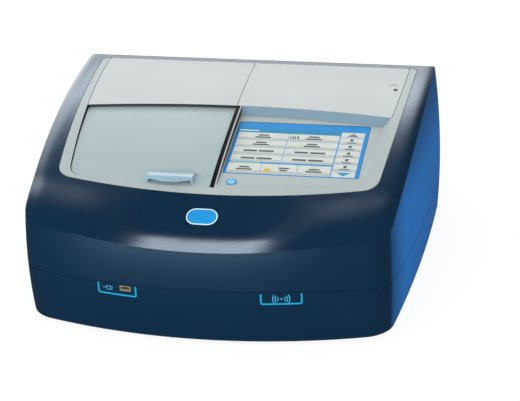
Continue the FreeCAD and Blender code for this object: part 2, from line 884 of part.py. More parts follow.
PANEL = Placement(Vector(0, float(FRONT + D.panel_front_back),
                         float(D.overall_height - D.panel_front_drop)),
                  Rotation(Vector(1, 0, 0), float(D.panel_slope)))
STACK_TOP = D.panel_thick + D.seat_gap
BOARD_TOP = STACK_TOP + D.lcd_thick + D.seat_gap


def tilted(shape, x=0, along=0, lift=0):
    """A shape moved from the display's own flat frame to its tilted place."""
    shape.Placement = PANEL.multiply(Placement(Vector(float(x), float(along), float(lift)), Rotation()))
    return shape


def above_panel(lift):
    """Everything above the display's flat, raised by the given distance."""
    return tilted(Part.makeBox(2 * FAR, 2 * FAR, FAR, Vector(-FAR, -FAR, lift)))


def sunk_space(gap=0):
    """The space over the display's flat, widening upwards with the moulded bevel round it."""
    lift = 24.0
    start = float(FRONT + D.panel_front_back)

    def rim(level):
        grow = level * float(D.bevel_slope) - gap
        inset = float(D.bevel_width) - grow
        return bowed_outline(
            float(WINDOW_HALF) - inset, float(REAR) - start, float(D.window_bow_radius) - inset,
            float(WINDOW_FRONT + D.bevel_front) - grow - start, float(D.window_front_radius) - inset,
            float(REAR) + 20, float(D.window_corner) + grow, 4, level)

    space = tilted(Part.makeLoft([rim(0), rim(lift)], True, True))
    return space.common(block(D.panel_left + D.panel_left_wall + gap, -FAR, 0, FAR, FAR, FAR))


def display_panel():
    """The display's part of the deck: a sunk flat with a bevel up to the rim, a window and a button hole."""
    panel = upright(window_outline(-1, REAR + 20)).common(block(D.panel_left, -FAR, 0, FAR, FAR, FAR))
    panel = panel.common(ahead_of_covers(float(D.lid_gap))).common(drum(D.crest_radius, CREST_Y, CREST_Z))
    panel = panel.common(above_panel(-float(D.panel_thick))).cut(sunk_space())
    seat = float(D.glass_recess + D.glass_thick)
    lift = 24.0
    edges = (D.screen_left, D.screen_start, D.screen_left + SCREEN_WIDTH, D.screen_start + D.screen_length)
    panel = panel.cut(tilted(rounded_slab(*edges, D.screen_corner, -seat, lift)))
    inner = (edges[0] + D.glass_ledge, edges[1] + D.glass_ledge, edges[2] - D.glass_ledge,
             edges[3] - D.glass_ledge)
    panel = panel.cut(tilted(block(inner[0], inner[1], -lift, inner[2], inner[3], lift)))
    hole = Part.makeCylinder(float(D.button_radius + D.fit_gap), 2 * lift, Vector(0, 0, -lift))
    return panel.cut(tilted(hole, D.button_x, D.button_along))


def deck_frame():
    """The light moulding that lines the opening of the hood, with the display's panel in it."""
    everywhere = upright(window_outline(0, REAR + 20))
    frame = upright(deck_outline(float(D.deck_gap))).common(rim_band(0, D.frame_thick))
    shelf = upright(deck_outline(float(D.deck_ledge + 2 * D.fit_gap)))
    shelf = shelf.common(rim_band(1, D.frame_thick + D.cover_shelf_thick))
    frame = frame.fuse(shelf.cut(block(-FAR, -FAR, 0, FAR, SHELF_FRONT, FAR)))
    frame = frame.cut(everywhere.cut(drum(D.crest_radius - D.frame_thick, CREST_Y, CREST_Z)))
    frame = frame.cut(everywhere.common(block(-FAR, -FAR, 0, FAR, SHELF_FRONT, FAR)))
    inner_rear = DECK_REAR - D.deck_ledge - D.cover_shelf
    frame = frame.cut(upright(window_outline(float(D.cover_shelf), inner_rear)))
    flange = upright(window_outline(-float(D.frame_flange), REAR + 20)).cut(everywhere)
    flange = flange.common(rim_band(1, D.frame_flange_drop)).common(block(-FAR, -FAR, 0, FAR, SHELF_FRONT,
                                                                          FAR))
    ledge = upright(window_outline(-1, REAR + 20)).cut(upright(window_outline(float(D.lid_ledge),
                                                                              REAR + 20)))
    ledge = ledge.common(lid_band(D.lid_thick + D.lid_gap, D.lid_thick + D.lid_gap + D.lid_ledge_thick))
    ledge = ledge.common(block(-FAR, -FAR, 0, D.lid_right, COVER_FRONT - 12, FAR))
    ledge = ledge.cut(block(RAIL_LEFT - 1, -FAR, 0, RAIL_LEFT + D.rail_width + 1, FAR, FAR))
    return frame.fuse([flange, ledge, display_panel()])


def rear_cover(left, right):
    """One of the two thin covers behind the lid and the display."""
    cover = upright(window_outline(float(D.cover_gap), DECK_REAR - D.fit_gap)).common(rim_band(0,
                                                                                               D.cover_thick))
    return cover.common(block(left, -FAR, 0, right, FAR, FAR)).cut(ahead_of_covers(0))


def cover_lip():
    """The front edge of the display's cover, folded down to the flat in front of it."""
    cover_y, panel_y = float(COVER_FRONT), float(FRONT + D.panel_front_back)
    flat_z = float(D.overall_height - D.panel_front_drop) + (cover_y - panel_y) * math.tan(math.radians(float(D.panel_slope)))
    slope = float(D.cover_lip_width) / (crest_height(cover_y) - flat_z)
    reach = float(D.cover_front_radius - D.cover_lip_width)
    below = 60.0

    def cone(thick):
        return Part.makeCone(reach - below * slope + thick, reach + below * slope + thick, 2 * below,
                             Vector(0, cover_y - float(D.cover_front_radius), flat_z - below))

    lip = cone(float(D.cover_lip_thick)).cut(cone(0)).common(drum(D.crest_radius, CREST_Y, CREST_Z))
    lip = lip.common(block(-FAR, 0, 0, FAR, FAR, FAR)).common(above_panel(float(D.fit_gap)))
    return lip.common(sunk_space(float(D.fit_gap)))


def cell_lid():
    """The thin curved lid with the two runners that guide it."""
    lid = upright(window_outline(float(D.lid_rim_gap), REAR + 20))
    lid = lid.common(block(-FAR, -FAR, 0, D.lid_right, FRONT + D.lid_rear_back, FAR)).common(lid_band(0,
                                                                                                      D.lid_thick))
    runners = []
    for centre in RUNNERS:
        side = D.runner_width / 2
        bottom = D.lid_thick + D.runner_depth
        runners.append(arc_bar(centre - side, centre + side, D.lid_thick / 2, bottom, D.runner_start,
                               D.runner_end))
    return lid.fuse(runners)


def lid_rails():
    """The curved rails whose grooves hold the runners and end where the lid stops."""
    rails = []
    rail_end = math.degrees(math.asin(float(REAR - D.rail_rear_gap - LID_Y) / float(D.lid_radius)))
    widths = (D.rail_width, D.rail_right_width)
    for left, width, centre in zip((RAIL_LEFT, D.rail_right), widths, RUNNERS):
        side = D.runner_width / 2 + D.fit_gap
        rail = arc_bar(left, left + width, RAIL_TOP, RAIL_BOTTOM, D.rail_start, rail_end)
        end = D.runner_end + D.lid_travel + D.groove_room
        bottom = D.lid_thick + D.runner_depth + D.fit_gap
        rails.append(rail.cut(arc_bar(centre - side, centre + side, 0, bottom,
                                      D.runner_start - D.groove_room, end)))
    return Part.makeCompound(rails)


def divider_strip():
    """The dark strip between the lid and the display, standing on the inner rail."""
    strip = block(D.divider_right - D.divider_width, WINDOW_FRONT + D.fit_gap, 0, D.divider_right,
                  COVER_FRONT - D.lid_gap, FAR)
    strip = strip.common(drum(D.crest_radius - D.divider_recess, CREST_Y, CREST_Z))
    return strip.cut(drum(D.lid_radius - RAIL_TOP + D.seat_gap, LID_Y, LID_Z))


def lid_seal():
    """Two foam strips that close the compartment under the front and rear of the lid."""
    strips = []
    left = RAIL_LEFT + D.rail_width + D.fit_gap
    for front in (FRONT + D.tray_front_back, FRONT + D.tray_rear_back - D.seal_width):
        strip = block(left, front, 0, D.rail_right - D.fit_gap, front + D.seal_width, FAR)
        strips.append(strip.common(lid_band(RAIL_TOP + D.seat_gap, RAIL_BOTTOM)))
    return Part.makeCompound(strips)


def lid_handle():
    """A raised pull with a wavy front edge and a hollow for the fingertips."""
    angle = math.radians(float(D.handle_angle))
    reach = float(D.lid_radius)
    foot = Vector(float(D.handle_left), float(LID_Y) + reach * math.sin(angle),
                  float(LID_Z) + reach * math.cos(angle))
    depth, rise = float(D.handle_depth) / 2, float(D.handle_height)
    wall, length = float(D.handle_wall), float(D.handle_length)
    wave = float(D.handle_wave)

    def profile(corner, crown, start):
        """A wedge with a curved back, from the rear edge up to the front lip."""
        rear = Vector(start, depth, -1)
        arc = Part.Arc(rear, Vector(start, depth * 0.2, crown * 0.72), Vector(start, -depth - wave, corner))
        low = Vector(start, -depth - wave, -1)
        return Part.Face(Part.Wire([arc.toShape(), Part.makeLine(Vector(start, -depth - wave, corner), low),
                                    Part.makeLine(low, rear)]))

    full = profile(rise, rise, 0).extrude(Vector(length, 0, 0))
    hollow = profile(rise, rise, wall).extrude(Vector(length - 2 * wall, 0, 0))
    hollow.translate(Vector(0, -wall, -wall * 1.15))
    count = 8
    edge = [Vector(length * (index / count * 1.2 - 0.1),
                   -depth + wave * math.cos(2 * math.pi * index / count * 1.2 - 0.2 * math.pi) - wave / 2,
                   -5)
            for index in range(count + 1)]
    line = Part.BSplineCurve()
    line.interpolate(edge)
    ahead = [Vector(edge[-1].x, -4 * depth, -5), Vector(edge[0].x, -4 * depth, -5)]
    sides = [Part.makeLine(edge[-1], ahead[0]), Part.makeLine(*ahead), Part.makeLine(ahead[1], edge[0])]
    front = Part.Face(Part.Wire([line.toShape()] + sides)).extrude(Vector(0, 0, 4 * rise))
    handle = full.cut(hollow).cut(front)
    handle.Placement = Placement(foot, Rotation(Vector(1, 0, 0), -float(D.handle_angle)))
    return handle.cut(drum(D.lid_radius, LID_Y, LID_Z))


def display_stack():
    """The glass, the screen module, its board and the power button, all in the tilted frame."""
    gap = D.fit_gap
    edges = (D.screen_left + gap, D.screen_start + gap, D.screen_left + SCREEN_WIDTH - gap,
             D.screen_start + D.screen_length - gap)
    low = -(D.glass_recess + D.glass_thick)
    glass = rounded_slab(*edges, D.screen_corner - gap, low, -D.glass_recess)
    keep(formed("Glass", tilted(glass)), "touch_glass")
    module = plate("Module", frame_of(D.screen_left - 3, D.screen_start - 3,
                                      D.screen_left + SCREEN_WIDTH + 3,
                                      D.screen_start + D.screen_length + 2), D.lcd_thick)
    view = new_sketch(module, "Module_view", "XY_Plane", D.lcd_thick)
    draw(view, frame_of(D.screen_left + 5, D.screen_start + 5, D.screen_left + SCREEN_WIDTH - 5,
                        D.screen_start + D.screen_length - 5))
    pocket(module, view, 0.6)
    tilted(module, 0, 0, -(STACK_TOP + D.lcd_thick))
    keep(module, "lcd_module")
    board = plate("Board", frame_of(D.screen_left + D.glass_ledge, D.display_board_start,
                                    D.screen_left + D.glass_ledge + D.display_board_width,
                                    D.screen_start + D.screen_length - 2 * D.glass_ledge),
                  D.board_thick)
    chips = new_sketch(board, "Board_chips")
    for column in range(3):
        left = D.screen_left + D.display_chip_pitch * (column + 0.4)
        draw(chips, frame_of(left, D.display_chip_start, left + D.display_chip_size,
                             D.display_chip_start + D.display_chip_size))
    pad(board, chips, 2.4, True)
    tilted(board, 0, 0, -(BOARD_TOP + D.board_thick))
    keep(board, "display_board")
    collar = D.panel_thick + D.seat_gap
    stem_end = BOARD_TOP - D.button_travel - D.seat_gap
    rim = D.button_radius
    button = turned("Button", [
        (0, -stem_end), (2, -stem_end), (2, -(collar + D.button_flange)),
        (rim + 1.5, -(collar + D.button_flange)), (rim + 1.5, -collar), (rim, -collar),
        (rim, D.button_rise - 0.5), (rim - 0.5, D.button_rise), (rim - 1.6, D.button_rise),
        (0, D.button_rise - 0.6)])
    tilted(button, D.button_x, D.button_along)
    keep(button, "power_button")


def copies(name, source, places):
    """The same solid at several places, as one group."""
    solids = []
    for x, y, z in places:
        solid = source.Shape.copy()
        solid.translate(Vector(float(x), float(y), float(z)))
        solids.append(solid)
    return formed(name, Part.makeCompound(solids))


def chassis():
    """The plate that carries the works, with the feet, screws and air filter below it."""
    half = HALF_WIDTH - D.chassis_margin
    rear = INNER_REAR - D.fit_gap
    hole = D.screw_radius + D.run_gap
    reach_x, reach_y = D.filter_width / 2 - 6, D.filter_length / 2 - 6
    air = frame_of(D.filter_x - reach_x, FILTER_Y - reach_y, D.filter_x + reach_x, FILTER_Y + reach_y)
    plan = frame_of(-half, FRONT + D.chassis_front_back, half, rear)
    keep(plate("Chassis", plan, D.chassis_thick, "XY_Plane", CHASSIS_BOTTOM, [air],
               [(x, y, hole) for x, y in BOSSES]), "chassis_plate")
    foot = turned("Foot", [(0, 0), (D.foot_radius - 2, 0), (D.foot_radius - 1, 0.8),
                           (D.foot_radius, D.foot_height),
                           (D.foot_stem_radius, D.foot_height), (D.foot_stem_radius, FLOOR_TOP),
                           (0, FLOOR_TOP)])
    screw = turned("Screw", [(0, 0), (D.screw_head_radius, 0), (D.screw_head_radius, D.screw_head_thick),
                             (D.screw_radius, D.screw_head_thick),
                             (D.screw_radius, CHASSIS_TOP - D.foot_height - 0.5),
                             (0, CHASSIS_TOP - D.foot_height - 0.5)])
    doc.recompute()
    keep(copies("Feet", foot, [(x, y, 0) for x, y in FEET]), "rubber_feet")
    keep(copies("Screws", screw, [(x, y, D.foot_height) for x, y in BOSSES]), "base_screws")
    half_width = D.filter_width / 2 + D.filter_cover_rim
    half_length = D.filter_length / 2 + D.filter_cover_rim
    slots = []
    pitch = (D.filter_length - 10) / D.filter_slot_count
    for index in range(int(float(D.filter_slot_count))):
        start = FILTER_Y - D.filter_length / 2 + 5 + pitch * (index + 0.5) - D.filter_slot / 2
        slots.append(frame_of(D.filter_x - reach_x, start, D.filter_x + reach_x, start + D.filter_slot))
    keep(plate("Grille", frame_of(D.filter_x - half_width, FILTER_Y - half_length, D.filter_x + half_width,
                                  FILTER_Y + half_length), D.filter_cover_thick, "XY_Plane",
               D.foot_height - D.filter_cover_thick, slots), "filter_cover")
    inner = (D.filter_width / 2 - D.fit_gap, D.filter_length / 2 - D.fit_gap)
    keep(box("Pad", (D.filter_x - inner[0], FILTER_Y - inner[1], D.foot_height),
             (D.filter_x + inner[0], FILTER_Y + inner[1], FLOOR_TOP)), "filter_pad")



def rail_underside(name, depth):
    """The space under the rails, as a long round bar about the lid's axis."""
    reach = D.lid_radius - depth
    return rod(name, (-FAR, LID_Y, LID_Z), reach, 2 * FAR, "x")


def compartment():
    """The sample compartment with its holders, windows and code reader."""
    low, high = (RAIL_LEFT, TRAY_FRONT, CHASSIS_TOP), (D.tray_right, TRAY_REAR, D.overall_height)
    inset = D.tray_wall
    shell = box("Tray_block", low, high)
    inside = box("Tray_inside", (low[0] + inset, low[1] + inset, TRAY_FLOOR_TOP),
                 (high[0] - inset, high[1] - inset, high[2] + 1))
    under = box("Tray_under", (low[0] + inset, low[1] + inset, low[2] - 1),
                (high[0] - inset, high[1] - inset, D.tray_floor_height))
    beam = rod("Tray_beam", (RAIL_LEFT - 1, BEAM_Y, D.beam_height), D.beam_hole_radius, 200, "x")
    vent = box("Tray_arch", (low[0] + 20, low[1] - 1, CHASSIS_TOP - 1),
               (high[0] - 20, high[1] + 1, CHASSIS_TOP + 30))
    hollow = cut("Tray_hollow", shell, inside, under, beam, vent)
    keep(shared("Tray", hollow, rail_underside("Tray_top", RAIL_BOTTOM + D.seat_gap)), "cell_tray")
    pane = D.beam_hole_radius + 2
    panes = [rod("Pane_left", (RAIL_LEFT - 1.5, BEAM_Y, D.beam_height), pane, 1.5, "x"),
             rod("Pane_right", (D.tray_right, BEAM_Y, D.beam_height), pane, 1.5, "x")]
    keep(join("Panes", *panes), "tray_windows")

    half = D.square_holder_size / 2
    x = D.square_holder_x
    holder = plate("Square", frame_of(x - half, BEAM_Y - half, x + half, BEAM_Y + half),
                   D.square_holder_height,
                   "XY_Plane", TRAY_FLOOR_TOP)
    foot = new_sketch(holder, "Square_foot", "XY_Plane", TRAY_FLOOR_TOP)
    draw(foot, frame_of(x - half, BEAM_Y - half - 8, x + half, BEAM_Y + half + 8))
    pad(holder, foot, D.holder_floor)
    mouth = new_sketch(holder, "Square_mouth", "XY_Plane", TRAY_FLOOR_TOP + D.square_holder_height)
    reach = D.square_pocket / 2
    draw(mouth, frame_of(x - reach, BEAM_Y - reach, x + reach, BEAM_Y + reach))
    pocket(holder, mouth, D.square_holder_height - D.holder_floor)
    sight = new_sketch(holder, "Square_sight", "YZ_Plane", x + half)
    ring(sight, BEAM_Y, D.beam_height, D.beam_hole_radius - 1)
    pocket(holder, sight, D.square_holder_size)
    keep(holder, "square_cell_holder")

    base = TRAY_FLOOR_TOP
    top = D.round_holder_height
    wall, bore = D.round_holder_radius, D.round_bore_radius
    well = turned("Round", [(0, 0), (wall + 5, 0), (wall + 5, D.holder_floor), (wall, D.holder_floor),
                            (wall, top - 1),
                            (wall - 1, top), (bore, top), (bore, D.holder_floor), (0, D.holder_floor)])
    place(well, ROUND_HOLDER_X, BEAM_Y, base)
    sight = rod("Round_sight", (ROUND_HOLDER_X - 60, BEAM_Y, D.beam_height), D.beam_hole_radius - 1, 120,
                "x")
    keep(cut("Round_holder", well, sight), "round_cell_holder")

    x = ROUND_HOLDER_X
    rear = BEAM_Y - wall - 10
    half = D.reader_width / 2
    case = box("Reader_case", (x - half, rear - D.reader_depth, base),
               (x + half, rear, base + D.reader_height))
    window = box("Reader_window", (x - 12, rear - 3, base + 14), (x + 12, rear + 1, base + 30))
    keep(cut("Reader", case, window), "barcode_reader")


def pillar(name, low, high, holes):
    """An optical block standing on the chassis with its light passages cut through."""
    return cut(name, box(name + "_block", low, high), *holes)


def beam_parts():
    """The splitter and the two light detectors beside the sample compartment."""
    top = D.beam_height + 15
    hole = D.beam_hole_radius
    left, right = D.tray_right + 4, D.mono_left - 4
    rear = BEAM_Y + 12
    passage = rod("Splitter_beam", (left - 1, BEAM_Y, D.beam_height), hole, right - left + 2, "x")
    branch = rod("Splitter_branch", ((left + right) / 2, BEAM_Y, D.beam_height), hole, 20, "y")
    keep(pillar("Splitter", (left, BEAM_Y - 12, CHASSIS_TOP), (right, rear, top), [passage, branch]),
         "beam_splitter")
    start = rear + 8
    eye = rod("Reference_eye", ((left + right) / 2, start - 1, D.beam_height), hole, 9, "y")
    keep(pillar("Reference", (left, start, CHASSIS_TOP), (right, start + 18, top), [eye]),
         "reference_detector")
    outer = RAIL_LEFT - 3
    eye = rod("Sample_eye", (outer - 8, BEAM_Y, D.beam_height), hole, 9, "x")
    keep(pillar("Sample", (outer - 16, BEAM_Y - 12, CHASSIS_TOP), (outer, BEAM_Y + 12, top), [eye]),
         "sample_detector")


MONO_FRONT = FRONT + D.mono_front_back
MONO_REAR = REAR - D.mono_rear_gap
TURRET_Y = REAR - D.turret_rear_gap
MONO_FLOOR = CHASSIS_TOP + D.mono_wall
MONO_LID_TOP = MONO_TOP + D.mono_cover_thick
WHEEL_X = D.entrance_x + D.wheel_pitch_radius


def curved_mirror(x, y, turn):
    """A concave mirror on a post, looking along the turned +Y direction."""
    radius, thick = float(D.mirror_radius), float(D.mirror_thick)
    height = float(D.beam_height - MONO_FLOOR)
    disc = Part.makeCylinder(radius, thick, Vector(0, -thick / 2, height), Vector(0, 1, 0))
    focus = float(D.mirror_focus_radius)
    disc = disc.cut(Part.makeSphere(focus, Vector(0, thick / 2 - 1.2 + focus, height)))
    half = float(D.mirror_post) / 2
    post = block(-half, -thick / 2, 0, half, thick / 2 - 2, height - radius + 1)
    mirror = disc.fuse(post)
    mirror.Placement = Placement(Vector(float(x), float(y), float(MONO_FLOOR)),
                                 Rotation(Vector(0, 0, 1), turn))
    return mirror


def monochromator():
    """The cast optics box with its slits, mirrors and turning grating."""
    low, high = (D.mono_left, MONO_FRONT, CHASSIS_TOP), (MONO_RIGHT, MONO_REAR, MONO_TOP)
    inset = D.mono_wall
    body = plate("Casting", frame_of(low[0], low[1], high[0], high[1]), D.mono_height, "XY_Plane",
                 CHASSIS_TOP)
    well = new_sketch(body, "Casting_well", "XY_Plane", MONO_TOP)
    draw(well, frame_of(low[0] + inset, low[1] + inset, high[0] - inset, high[1] - inset))
    pocket(body, well, D.mono_height - inset)
    baffle = new_sketch(body, "Casting_baffle", "XY_Plane", CHASSIS_TOP)
    draw(baffle, frame_of(low[0] + 1, BEAM_Y + 40, D.entrance_x - 20, BEAM_Y + 44))
    pad(body, baffle, D.mono_height - 8)
    exit_hole = new_sketch(body, "Casting_exit", "YZ_Plane", low[0])
    ring(exit_hole, BEAM_Y, D.beam_height, D.slit_radius - 3)
    pocket(body, exit_hole, inset + 1, True)
    entry = new_sketch(body, "Casting_entry", "XZ_Plane", -high[1])
    ring(entry, D.entrance_x, D.beam_height, D.slit_radius - 3)
    pocket(body, entry, inset + 1, True)
    keep(body, "monochromator_casting")
    keep(plate("Casting_lid", frame_of(low[0], low[1], high[0], high[1]), D.mono_cover_thick, "XY_Plane",
               MONO_TOP,
               holes=[(D.turret_x, TURRET_Y, D.turret_shaft_radius + 1)]), "monochromator_cover")
    slots = []
    wide, tall = D.slit_width / 2, D.slit_height / 2
    for name, start, axis in (("Exit", (low[0] - D.slit_plate_thick, BEAM_Y, D.beam_height), "x"),
                              ("Entry", (D.entrance_x, high[1], D.beam_height), "y")):
        disc = rod(name + "_disc", start, D.slit_radius, D.slit_plate_thick, axis)
        if axis == "x":
            slot = box(name + "_slot", (low[0] - 5, BEAM_Y - wide, D.beam_height - tall),
                       (low[0] + 1, BEAM_Y + wide, D.beam_height + tall))
        else:
            slot = box(name + "_slot", (D.entrance_x - wide, high[1] - 1, D.beam_height - tall),
                       (D.entrance_x + wide, high[1] + 5, D.beam_height + tall))
        slots.append(cut(name + "_slit", disc, slot))
    keep(join("Slits", *slots), "slit_plates")
    keep(formed("Collimator", curved_mirror(D.entrance_x, low[1] + inset + 8, -8)), "collimator_mirror")
    keep(formed("Focus", curved_mirror(high[0] - inset - 8, BEAM_Y, 90)), "focus_mirror")

    top = D.beam_height + D.grating_width / 2
    shaft = D.turret_shaft_radius
    stem_end = MONO_LID_TOP + D.stepper_height - 4
    disc = turned("Turret_disc", [(0, 0), (D.turret_radius, 0), (D.turret_radius, D.turret_thick),
                                  (shaft + 3, D.turret_thick), (shaft + 3, D.turret_thick + 4),
                                  (shaft, D.turret_thick + 4), (shaft, stem_end - top),
                                  (0, stem_end - top)])
    place(disc, D.turret_x, TURRET_Y, top)
    half = D.grating_width / 2
    back = box("Turret_back", (D.turret_x - half, TURRET_Y + 1, top - D.grating_width),
               (D.turret_x + half, TURRET_Y + 4, top + 1))
    keep(join("Turret", disc, back), "grating_turret")
    keep(box("Grating", (D.turret_x - half, TURRET_Y + 1 - D.grating_thick, top - D.grating_width),
             (D.turret_x + half, TURRET_Y + 1, top - D.seat_gap)), "diffraction_grating")
    half = D.stepper_size / 2
    motor = plate("Stepper", frame_of(D.turret_x - half, TURRET_Y - half, D.turret_x + half,
                                      TURRET_Y + half),
                  D.stepper_height, "XY_Plane", MONO_LID_TOP,
                  holes=[(D.turret_x, TURRET_Y, shaft + D.run_gap)])
    keep(motor, "turret_motor")


def filter_drive():
    """The wheel of filters in front of the entrance slit and the motor that turns it."""
    front = REAR - D.wheel_rear_gap
    wheel = new_body("Wheel")
    sketch = new_sketch(wheel, "Wheel_outline", "XZ_Plane")
    ring(sketch, 0, 0, D.wheel_radius)
    pad(wheel, sketch, D.wheel_thick, True)
    hole = new_sketch(wheel, "Wheel_hole", "XZ_Plane")
    ring(hole, D.wheel_pitch_radius, 0, D.wheel_hole_radius)
    first = pocket(wheel, hole, D.wheel_thick)
    turn = wheel.newObject("PartDesign::PolarPattern", "Wheel_pattern")
    turn.Originals = [first]
    turn.Axis = (hole, ["N_Axis"])
    turn.Angle = 360
    bind(turn, "Occurrences", int(float(D.wheel_hole_count)))
    wheel.Tip = turn
    place(wheel, WHEEL_X, front, D.beam_height)
    motor_front = front + D.wheel_thick + 3
    axle = rod("Wheel_axle", (WHEEL_X, front + D.wheel_thick - 1, D.beam_height), D.wheel_shaft_radius,
               14, "y")
    keep(join("Wheel_set", wheel, axle), "filter_wheel")
    half = D.wheel_motor_size / 2
    case = box("Drive_case", (WHEEL_X - half, motor_front, D.beam_height - half),
               (WHEEL_X + half, motor_front + D.wheel_motor_length, D.beam_height + half))
    leg = box("Drive_leg", (WHEEL_X - half, motor_front, CHASSIS_TOP),
              (WHEEL_X + half, motor_front + 4, D.beam_height - half + 1))
    foot = box("Drive_foot", (WHEEL_X - half, motor_front, CHASSIS_TOP),
               (WHEEL_X + half, motor_front + D.wheel_motor_length, CHASSIS_TOP + 3))
    bore = rod("Drive_bore", (WHEEL_X, motor_front - 1, D.beam_height), D.wheel_shaft_radius + D.run_gap,
               14, "y")
    keep(cut("Drive", join("Drive_body", case, leg, foot), bore), "filter_motor")


def lamps():
    """The two lamps on their bracket with the mirror that chooses between them."""
    y = REAR - D.lamp_rear_gap
    half = D.lamp_bracket_depth / 2
    left, right = D.lamp_bracket_left, D.lamp_bracket_left + D.lamp_bracket_width
    level = CHASSIS_TOP + D.lamp_bracket_thick
    block_top = level + D.lamp_block_height
    base = box("Bracket_base", (left, y - half, CHASSIS_TOP), (right, y + half, level))
    seats = [box("Bracket_halogen", (D.halogen_x - 11, y - 11, level - 1),
                 (D.halogen_x + 11, y + 11, block_top)),
             box("Bracket_arc", (D.deuterium_x - 14, y - 14, level - 1),
                 (D.deuterium_x + 14, y + 14, block_top))]
    post_top = D.beam_height - D.flip_mirror_width / 2 - 3
    post = rod("Bracket_post", (D.entrance_x, y, level - 1), D.flip_shaft_radius + 4, post_top - level + 1)
    bore = rod("Bracket_bore", (D.entrance_x, y, post_top - 20), D.flip_shaft_radius + D.run_gap, 21)
    keep(cut("Bracket", join("Bracket_body", base, post, *seats), bore), "lamp_bracket")
    stem = rod("Flip_stem", (D.entrance_x, y, post_top - 18), D.flip_shaft_radius, 22)
    half = D.flip_mirror_width / 2
    face = box("Flip_face", (D.entrance_x - half, y - D.flip_mirror_thick / 2, post_top + 1),
               (D.entrance_x + half, y + D.flip_mirror_thick / 2, post_top + 1 + D.flip_mirror_width))
    collar = rod("Flip_collar", (D.entrance_x, y, post_top + D.seat_gap), D.flip_shaft_radius + 2, 1.2)
    keep(join("Flip", stem, collar, face), "lamp_mirror")
    bulb = turned("Halogen", [(0, 0), (6, 0), (6, 18), (4.6, 20), (5.6, 26), (6.4, 38), (6.2, 46),
                              (4, 51), (0, 53)])
    place(bulb, D.halogen_x, y, block_top)
    keep(bulb, "halogen_lamp")
    arc = turned("Deuterium", [(0, 0), (13, 0), (13, 4), (9, 6), (9, 12), (14, 18), (14, 62), (11, 67),
                               (3, 71), (0, 71)])
    place(arc, D.deuterium_x, y, block_top)
    keep(arc, "deuterium_lamp")


def electronics():
    """The supply, the main board on its spacers and the tag reader at the front."""
    left, front = D.supply_side_gap - HALF_WIDTH, TRAY_REAR + D.supply_tray_gap
    right, rear = left + D.supply_width, REAR - D.supply_rear_gap
    top = CHASSIS_TOP + D.supply_height
    skin = 1.5
    case = box("Supply_case", (left, front, CHASSIS_TOP), (right, rear, top))
    inside = box("Supply_inside", (left + skin, front - 1, CHASSIS_TOP + skin),
                 (right - skin, rear + 1, top + 1))
    slots = []
    pitch = (rear - front) / (D.vent_slot_count + 1)
    for index in range(int(float(D.vent_slot_count))):
        start = front + pitch * (index + 1) - D.vent_slot_width / 2
        slots.append(box(f"Supply_slot_{index}", (left - 1, start, CHASSIS_TOP + 10),
                         (right + 1, start + D.vent_slot_width, top - 8)))
    channel = cut("Supply_channel", case, inside, *slots)
    core = box("Supply_core", (left + 20, front + 14, CHASSIS_TOP + 1),
               (left + 58, front + 54, CHASSIS_TOP + 34))
    cans = [rod(f"Supply_can_{index}", (left + 78, front + 24 + 26 * index, CHASSIS_TOP + 1), 9, 30)
            for index in range(3)]
    keep(join("Supply", channel, core, *cans), "power_supply")

    left, front = D.board_left, TRAY_REAR + D.board_tray_gap
    right, rear = left + D.board_width, REAR - D.board_rear_gap
    board = plate("Main", frame_of(left, front, right, rear), D.board_thick, "XY_Plane", D.board_height)
    parts = new_sketch(board, "Main_parts", "XY_Plane", D.board_height + D.board_thick)
    draw(parts, frame_of(left + 50, front + 30, left + 80, front + 60))
    draw(parts, frame_of(left + 18, front + 34, left + 34, front + 56))
    draw(parts, frame_of(left + 18, front + 74, left + 62, front + 82))
    pad(board, parts, 3)
    keep(board, "main_board")
    inset = D.standoff_inset
    spacers = [rod(f"Spacer_{index}", (x, y, CHASSIS_TOP), D.standoff_radius, D.board_height - CHASSIS_TOP)
               for index, (x, y) in enumerate([(left + inset, front + inset),
                                               (right - inset, front + inset),
                                               (left + inset, rear - inset),
                                               (right - inset, rear - inset)])]
    keep(join("Spacers", *spacers), "board_standoffs")
    point, turn = front_point(D.rfid_x, FLOOR_TOP)
    wide = float(D.rfid_width)
    card = Part.makeBox(wide, float(D.board_thick), float(D.rfid_height),
                        Vector(-wide / 2, float(D.wall + D.rfid_wall_gap), 0))
    card.Placement = Placement(point, Rotation(Vector(0, 0, 1), turn)).multiply(card.Placement)
    keep(formed("Tag", card), "rfid_board")


def rail_bridge():
    """The upright frame behind the board that carries the rear ends of the rails."""
    front = REAR - D.bridge_rear_gap
    outline = frame_of(D.bridge_left, CHASSIS_TOP, D.bridge_right, D.overall_height - 4)
    gap = frame_of(D.bridge_left + D.bridge_leg, CHASSIS_TOP - 5, D.bridge_right - D.bridge_leg,
                   D.overall_height - 20 - D.bridge_beam)
    sheet_part = new_body("Bridge_plate")
    sketch = new_sketch(sheet_part, "Bridge_outline", "XZ_Plane", -front)
    draw(sketch, outline)
    pad(sheet_part, sketch, D.bridge_thick, True)
    tool = box("Bridge_gap", (gap[0][0], front - 1, gap[0][1]),
               (gap[1][0], front + D.bridge_thick + 1, gap[2][1]))
    opened = cut("Bridge_open", sheet_part, tool)
    keep(shared("Bridge", opened, rail_underside("Bridge_top", RAIL_BOTTOM + D.seat_gap)), "rail_bridge")


INLET_LOW = D.inlet_height - 18
DRAWER_LEVEL = D.inlet_height - 1
ROCKER_LEVEL = D.inlet_height + 17
REAR_SCREWS = [(LAMP_COVER_LEFT + 5 + across * (D.lamp_cover_width - 10),
                D.lamp_cover_bottom + 5 + up * (D.lamp_cover_height - 10)) for across in (0,
                                                                                          1) for up in (0,
                                                                                                        1)]
PORT_LEVEL = D.board_height + D.board_thick


